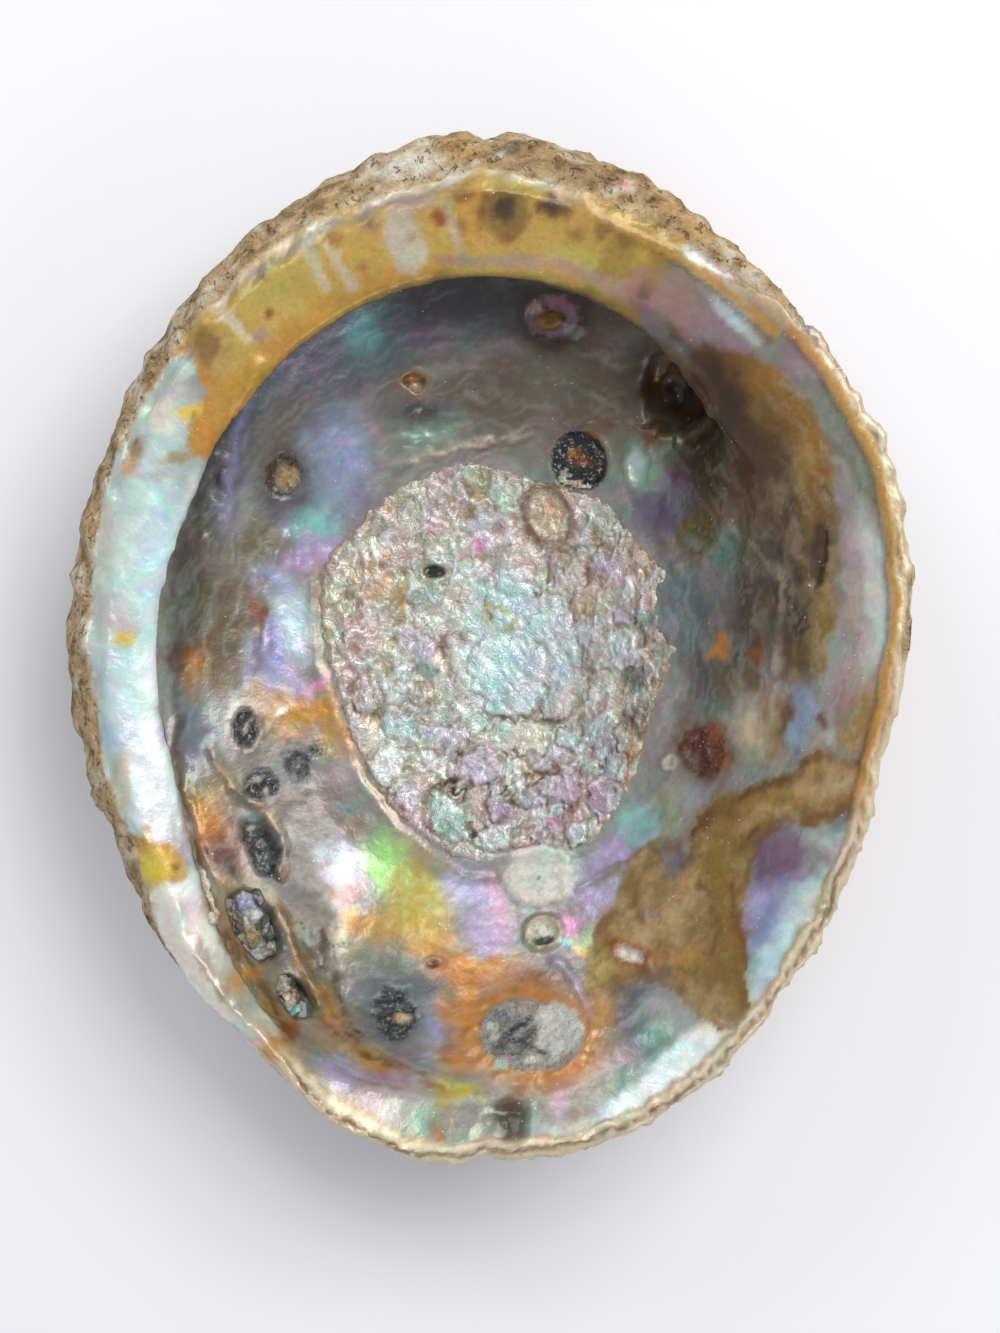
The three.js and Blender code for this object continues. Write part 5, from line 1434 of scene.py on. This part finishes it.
skin = makeScarSkin(shellLevel)
setPoints(skin.data, melt(pointsOf(skin.data), edgesOf(skin.data), blank["meltSkin"]))
skinSite = Site(skin.data)
skinSite.prepare()
skinSite.fromScar = scarGap(skinSite)
skinLift = scarRelief(skinSite)
setPoints(skin.data, skinSite.row + skinSite.normal * skinLift[:, None] * mm)
paintScar(skinSite)
enrich(skinSite, richer["skin"], np.ones(len(skinSite.x)))
writeFields(skinSite, np.ones(len(skinSite.x)), np.zeros(len(skinSite.x)))
onlyActive(skin)
thick = skin.modifiers.new("skin", "SOLIDIFY")
thick.thickness = scarLook["skin"]
thick.offset = -1
bpy.ops.object.modifier_apply(modifier=thick.name)
print("scar done", len(skin.data.polygons), "faces")

# Bits of grit caught in the pores, and a worm tube beside them.

poreWalls = {"wide": ((-53, -56), (-41, -58)), "narrow": ((-44.6, -70.6), (-36.4, -72.6))}
bits = [  # colour, x, y, half width, half length, turn, pore
    ("lavender", -49.2, -52, 2.0, 2.6, 10, "wide"), ("taupe", -50.2, -55.6, 1.4, 3.2, 35, "wide"),
    ("paleGrey", -47.2, -54.8, 1.4, 2.2, -20, "wide"), ("tan", -47.4, -59, 1.9, 1.8, 30, "wide"),
    ("grey", -44.6, -61.4, 2.3, 2.0, 0, "wide"), ("paleGrey", -46.4, -62.8, 2.2, 1.4, 20, "wide"),
    ("slate", -44.4, -57.8, 1.3, 2.2, 20, "wide"), ("greyGreen", -43.6, -64, 1.8, 1.2, 0, "wide"),
    ("charcoal", -50.8, -59, 1.4, 2.4, 25, "wide"), ("slate", -46.0, -51.2, 1.2, 2.2, 25, "wide"),
    ("grey", -41.4, -68.6, 1.9, 2.0, 0, "narrow"), ("sand", -40.2, -71.6, 1.4, 2.2, 10, "narrow"),
    ("aqua", -38.8, -73.6, 1.6, 1.2, 20, "narrow"), ("charcoal", -42, -72, 1.2, 2.4, 25, "narrow"),
    ("brown", -38.4, -75.8, 1.6, 1.0, 20, "narrow"), ("taupe", -39.0, -70, 1.0, 1.8, 10, "narrow"),
]
wormTube = [
    (-57.6, -46.4), (-57.2, -47.8), (-56.8, -49.2), (-56, -50.6), (-55.4, -52), (-55, -53.6), (-55.2, -55),
]
gritLook = {
    "depth": 2.2,             # mm below the pore's walls
    "swell": 1.12,
    "thick": 1.7,
    "tubeLift": 0.3,
    "tube": (1.15, 1.1, 0.95),
    "tubeStep": 0.1,          # how much slimmer every second lump of the tube is
    "voxel": 0.3 * mm,
    "crusty": 0.25,           # how much of the crust's finish it takes
}


# The point of the blank's surface that is seen at a place in plan, in mm.
def surfaceAt(x, y):
    (middleX, middleY), (moveX, moveY) = plan["middle"], plan["shift"]
    eye = Vector((middleX + moveX, middleY + moveY, plan["rimPlane"] + plan["eyeHeight"])) * mm
    aim = Vector((x + moveX, y + moveY, plan["rimPlane"])) * mm
    return cadTree.ray_cast(eye, (aim - eye).normalized())[0] / mm


def addLump(at, sizes, turn):
    bpy.ops.mesh.primitive_ico_sphere_add(subdivisions=4, radius=mm, location=[v * mm for v in at],
                                          rotation=(0, 0, math.radians(turn)), scale=sizes)
    return bpy.context.object


def makeGrit():
    bpy.ops.object.select_all(action="DESELECT")
    lumps = []
    for _, x, y, halfWidth, halfLength, turn, pore in bits:
        (leftX, leftY), (rightX, rightY) = poreWalls[pore]
        left, right = surfaceAt(leftX, leftY)[2], surfaceAt(rightX, rightY)[2]
        z = left + (right - left) * np.clip((x - leftX) / (rightX - leftX), 0, 1) - gritLook["depth"]
        near = plan["eyeHeight"] / (plan["eyeHeight"] + plan["rimPlane"] - z)
        at = [middle + (seen - middle) / near + moved
              for seen, middle, moved in zip((x, y), plan["middle"], plan["shift"])]
        sizes = gritLook["swell"] * halfWidth, gritLook["swell"] * halfLength, gritLook["thick"]
        lumps.append(addLump((*at, z), sizes, turn))
    length, width, height = gritLook["tube"]
    for i, (x, y) in enumerate(wormTube):
        at = surfaceAt(x, y)
        sizes = length - gritLook["tubeStep"] * (i % 2), width, height
        lumps.append(addLump((at[0], at[1], at[2] + gritLook["tubeLift"]), sizes, 20 * i))
    for lump in lumps:
        lump.select_set(True)
    bpy.context.view_layer.objects.active = lumps[0]
    bpy.ops.object.join()
    grit = bpy.context.object
    grit.name = "poreGrit"
    bpy.ops.object.transform_apply(location=True, rotation=True, scale=True)
    merge = grit.modifiers.new("merge", "REMESH")
    merge.mode = "VOXEL"
    merge.voxel_size = gritLook["voxel"]
    bpy.ops.object.modifier_apply(modifier=merge.name)
    return grit


def shapeGrit(site):
    lift = 0.8 * cloud(site, 2.4, 3, 4.4) - 0.5 * np.clip(creases(site, 2.0, 2, 8.8), 0, 1)
    setPoints(site.mesh, site.row + site.normal * lift[:, None] * mm)
    lay(site, np.ones(len(site.x)), "cream", 0.8)
    for colourName, x, y, halfWidth, halfLength, turn, _ in bits:
        gap = fromOval(site.x, site.y, (x, y), halfWidth, halfLength, turn)
        lay(site, smoothStep(0.5, -0.2, gap), colourName, 0.6)
    lay(site, smoothStep(0.1, 0.5, -site.wander[0]) * 0.5, "brown", 0.8)
    lay(site, smoothStep(0.1, 0.5, site.drift[0]) * 0.4, "chalk", 0.8)


grit = makeGrit()
gritSite = Site(grit.data)
gritSite.prepare()
shapeGrit(gritSite)
writeFields(gritSite, np.zeros(len(gritSite.x)), np.full(len(gritSite.x), gritLook["crusty"]))
print("grit done", len(grit.data.polygons), "faces")

# Materials.


class Wire:
    tree = None

    def __init__(self, socket):
        self.socket = socket

    @staticmethod
    def node(kind, settings=None, inputs=None, output=0):
        made = Wire.tree.nodes.new(kind)
        for name, value in (settings or {}).items():
            setattr(made, name, value)
        for key, value in (inputs or {}).items():
            if isinstance(value, Wire):
                Wire.tree.links.new(value.socket, made.inputs[key])
            else:
                made.inputs[key].default_value = value
        return Wire(made.outputs[output])

    @staticmethod
    def maths(operation, first, second=0.0):
        return Wire.node("ShaderNodeMath", {"operation": operation}, {0: first, 1: second})

    def __add__(self, other):
        return Wire.maths("ADD", self, other)

    def __radd__(self, other):
        return Wire.maths("ADD", other, self)

    def __sub__(self, other):
        return Wire.maths("SUBTRACT", self, other)

    def __rsub__(self, other):
        return Wire.maths("SUBTRACT", other, self)

    def __mul__(self, other):
        return Wire.maths("MULTIPLY", self, other)

    def __rmul__(self, other):
        return Wire.maths("MULTIPLY", other, self)

    # 0 below low and 1 above high, with a smooth rise between them
    def rise(self, low, high):
        settings = {"interpolation_type": "SMOOTHSTEP"}
        return Wire.node("ShaderNodeMapRange", settings, {"Value": self, "From Min": low, "From Max": high})


def blend(first, second, amount, mode="MIX"):
    settings = {"data_type": "RGBA", "blend_type": mode}
    return Wire.node("ShaderNodeMix", settings, {0: amount, 6: first, 7: second}, 2)


# Multiplies a colour by a tone, by the given amount.
def toned(base, tone, amount):
    return blend(base, blend(base, tone, 1.0, "MULTIPLY"), amount)


def noiseField(where, size, detail=3.0, warp=0.0, roughness=0.55):
    inputs = {"Vector": where, "Scale": 1 / (size * mm), "Detail": detail, "Roughness": roughness,
              "Distortion": warp}
    return Wire.node("ShaderNodeTexNoise", {}, inputs)


def field(name, output="Fac"):
    made = Wire.node("ShaderNodeAttribute", {"attribute_name": name})
    return Wire(made.socket.node.outputs[output])


def colour(name):
    return (*paint[name], 1)


nacreLook = {
    "glows": [  # colour that multiplies the nacre, patch size in mm, noise levels, strength
        ((0.55, 0.95, 0.98, 1), 9, 0.50, 0.66, 0.42), ((1.0, 0.66, 0.86, 1), 7, 0.52, 0.68, 0.40),
        ((0.66, 0.98, 0.64, 1), 8, 0.55, 0.70, 0.30), ((1.0, 0.84, 0.5, 1), 6, 0.54, 0.70, 0.30),
        ((0.72, 0.64, 1.0, 1), 10, 0.53, 0.70, 0.38),
    ],
    "films": ((1.08, 0.84, 1.04, 1), (0.84, 1.06, 0.98, 1)),   # two colours in turn, as in a thin film
    "filmSize": 18, "filmTurns": 30, "filmStrength": 0.4,
    "bright": (1.4, 1.4, 1.42, 1), "brightSize": 6, "brightStrength": 0.3,
    "mottle": (0.5, 0.46, 0.42, 1), "mottleSize": 1.3,
    "foilSize": 2.4, "fineFoilSize": 1.1, "foilLight": 0.2, "fineFoilLight": 0.08, "foilShade": 0.4,
    "speckSize": 1.0, "crustPitSize": 2.0,
    "dust": (0.9, 0.9, 0.86, 1), "dustGap": 2.1, "dustStrength": 0.7,
    "roughness": 0.3, "coat": 0.35, "coatRoughness": 0.1, "metal": 0.3,
}


def makeShellMaterial():
    material = bpy.data.materials.new("nacreAndCrust")
    material.use_nodes = True
    Wire.tree = material.node_tree
    shader = material.node_tree.nodes["Principled BSDF"]
    where = Wire.node("ShaderNodeTexCoord", output="Object")
    scar, stain, crust, grit = field("scar"), field("stain"), field("crust"), field("grit")
    nacre = (1 - crust) * (1 - 0.7 * stain) * (1 - grit)

    # soft play of colour over the nacre
    base = field("tint", "Color")
    for i, (glowColour, size, low, high, strength) in enumerate(nacreLook["glows"]):
        shift = (0.07 * i, 0.11 * i, 0.05 * i)
        moved = Wire.node("ShaderNodeMapping", {}, {"Vector": where, "Location": shift})
        patch = noiseField(moved, size, 4, 0.8).rise(low, high)
        base = toned(base, glowColour, patch * nacre * strength)
    layers = noiseField(where, nacreLook["filmSize"], 2, 0.5, 0.5) * nacreLook["filmTurns"]
    film = Wire.maths("SINE", layers) * 0.5 + 0.5
    base = toned(base, nacreLook["films"][0], film * nacre * nacreLook["filmStrength"])
    base = toned(base, nacreLook["films"][1], (1 - film) * nacre * nacreLook["filmStrength"])
    bright = noiseField(where, nacreLook["brightSize"], 4, 0.7).rise(0.46, 0.66)
    base = toned(base, nacreLook["bright"], bright * nacre * nacreLook["brightStrength"])
    # fine mottling
    grain = noiseField(where, nacreLook["mottleSize"], 5, 0.4, 0.65).rise(0.32, 0.7)
    base = toned(base, nacreLook["mottle"], grain * (0.2 + 0.3 * stain - 0.1 * scar))
    # foil of the scar: creases of light too fine for the mesh
    waves = noiseField(where, nacreLook["foilSize"], 2, 0.8, 0.5)
    creased = (1 - Wire.maths("ABSOLUTE", waves - 0.5).rise(0.0, 0.035)) * scar
    fine = noiseField(where, nacreLook["fineFoilSize"], 2, 0.5, 0.5)
    fineCreased = (1 - Wire.maths("ABSOLUTE", fine - 0.5).rise(0.0, 0.05)) * scar
    foilLight = creased * nacreLook["foilLight"] + fineCreased * nacreLook["fineFoilLight"]
    base = blend(base, (1, 1, 1, 1), foilLight * (1 - stain))
    base = toned(base, colour("sand"), (1 - waves.rise(0.34, 0.46)) * scar * nacreLook["foilShade"])
    # grit in the pits
    specks = noiseField(where, nacreLook["speckSize"], 3, 0.8, 0.6)
    base = blend(base, colour("paleGrey"), specks.rise(0.56, 0.62) * grit * 0.55)
    base = blend(base, colour("blackBrown"), (1 - specks.rise(0.38, 0.46)) * grit * 0.7)
    # crust: sandy, pitted
    dark = (1 - noiseField(where, nacreLook["crustPitSize"], 4, 0.5, 0.7).rise(0.34, 0.42)) * crust
    base = blend(base, colour("brown"), dark * 0.5)
    base = blend(base, colour("chalk"), noiseField(where, 0.9, 3).rise(0.54, 0.7) * crust * 0.22)
    # dust: a few white grains
    grains = {"Vector": where, "Scale": 1 / (nacreLook["dustGap"] * mm)}
    dust = Wire.node("ShaderNodeTexVoronoi", {"feature": "F1"}, grains)
    dusty = noiseField(where, 14, 2).rise(0.5, 0.6)
    dot = (1 - dust.rise(0.055, 0.085)) * dusty
    base = blend(base, nacreLook["dust"], dot * (1 - crust) * nacreLook["dustStrength"])
    Wire.tree.links.new(base.socket, shader.inputs["Base Color"])

    roughness = nacreLook["roughness"] + 0.1 * scar + 0.1 * stain + 0.5 * crust + 0.25 * grit
    roughness = roughness + 0.12 * (grain - 0.5)
    metal = nacre * (nacreLook["metal"] + 0.1 * scar)
    coat = (1 - crust) * (1 - 0.6 * grit) * nacreLook["coat"]
    Wire.tree.links.new(roughness.socket, shader.inputs["Roughness"])
    Wire.tree.links.new(metal.socket, shader.inputs["Metallic"])
    Wire.tree.links.new(coat.socket, shader.inputs["Coat Weight"])
    shader.inputs["Coat Roughness"].default_value = nacreLook["coatRoughness"]

    # relief too fine for the mesh, in metres
    foilBump = creased * 0.12 + fineCreased * 0.03 + waves * scar * 0.5
    crustBump = (noiseField(where, 1.5, 4) * 1.1 - dark * 0.8) * crust
    gritBump = specks * grit * 0.7
    fineBump = noiseField(where, 2.2, 4, 0.4) * 0.14
    height = (foilBump + crustBump + gritBump + fineBump) * mm
    bump = Wire.node("ShaderNodeBump", {}, {"Height": height, "Strength": 1.0, "Distance": 1.0})
    Wire.tree.links.new(bump.socket, shader.inputs["Normal"])
    return material


material = makeShellMaterial()
for piece in (shell, skin, grit):
    piece.data.materials.clear()
    piece.data.materials.append(material)
    onlyActive(piece)
    bpy.ops.object.shade_smooth()
    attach(piece, "root")
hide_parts("abalone_shell")
print("materials made")
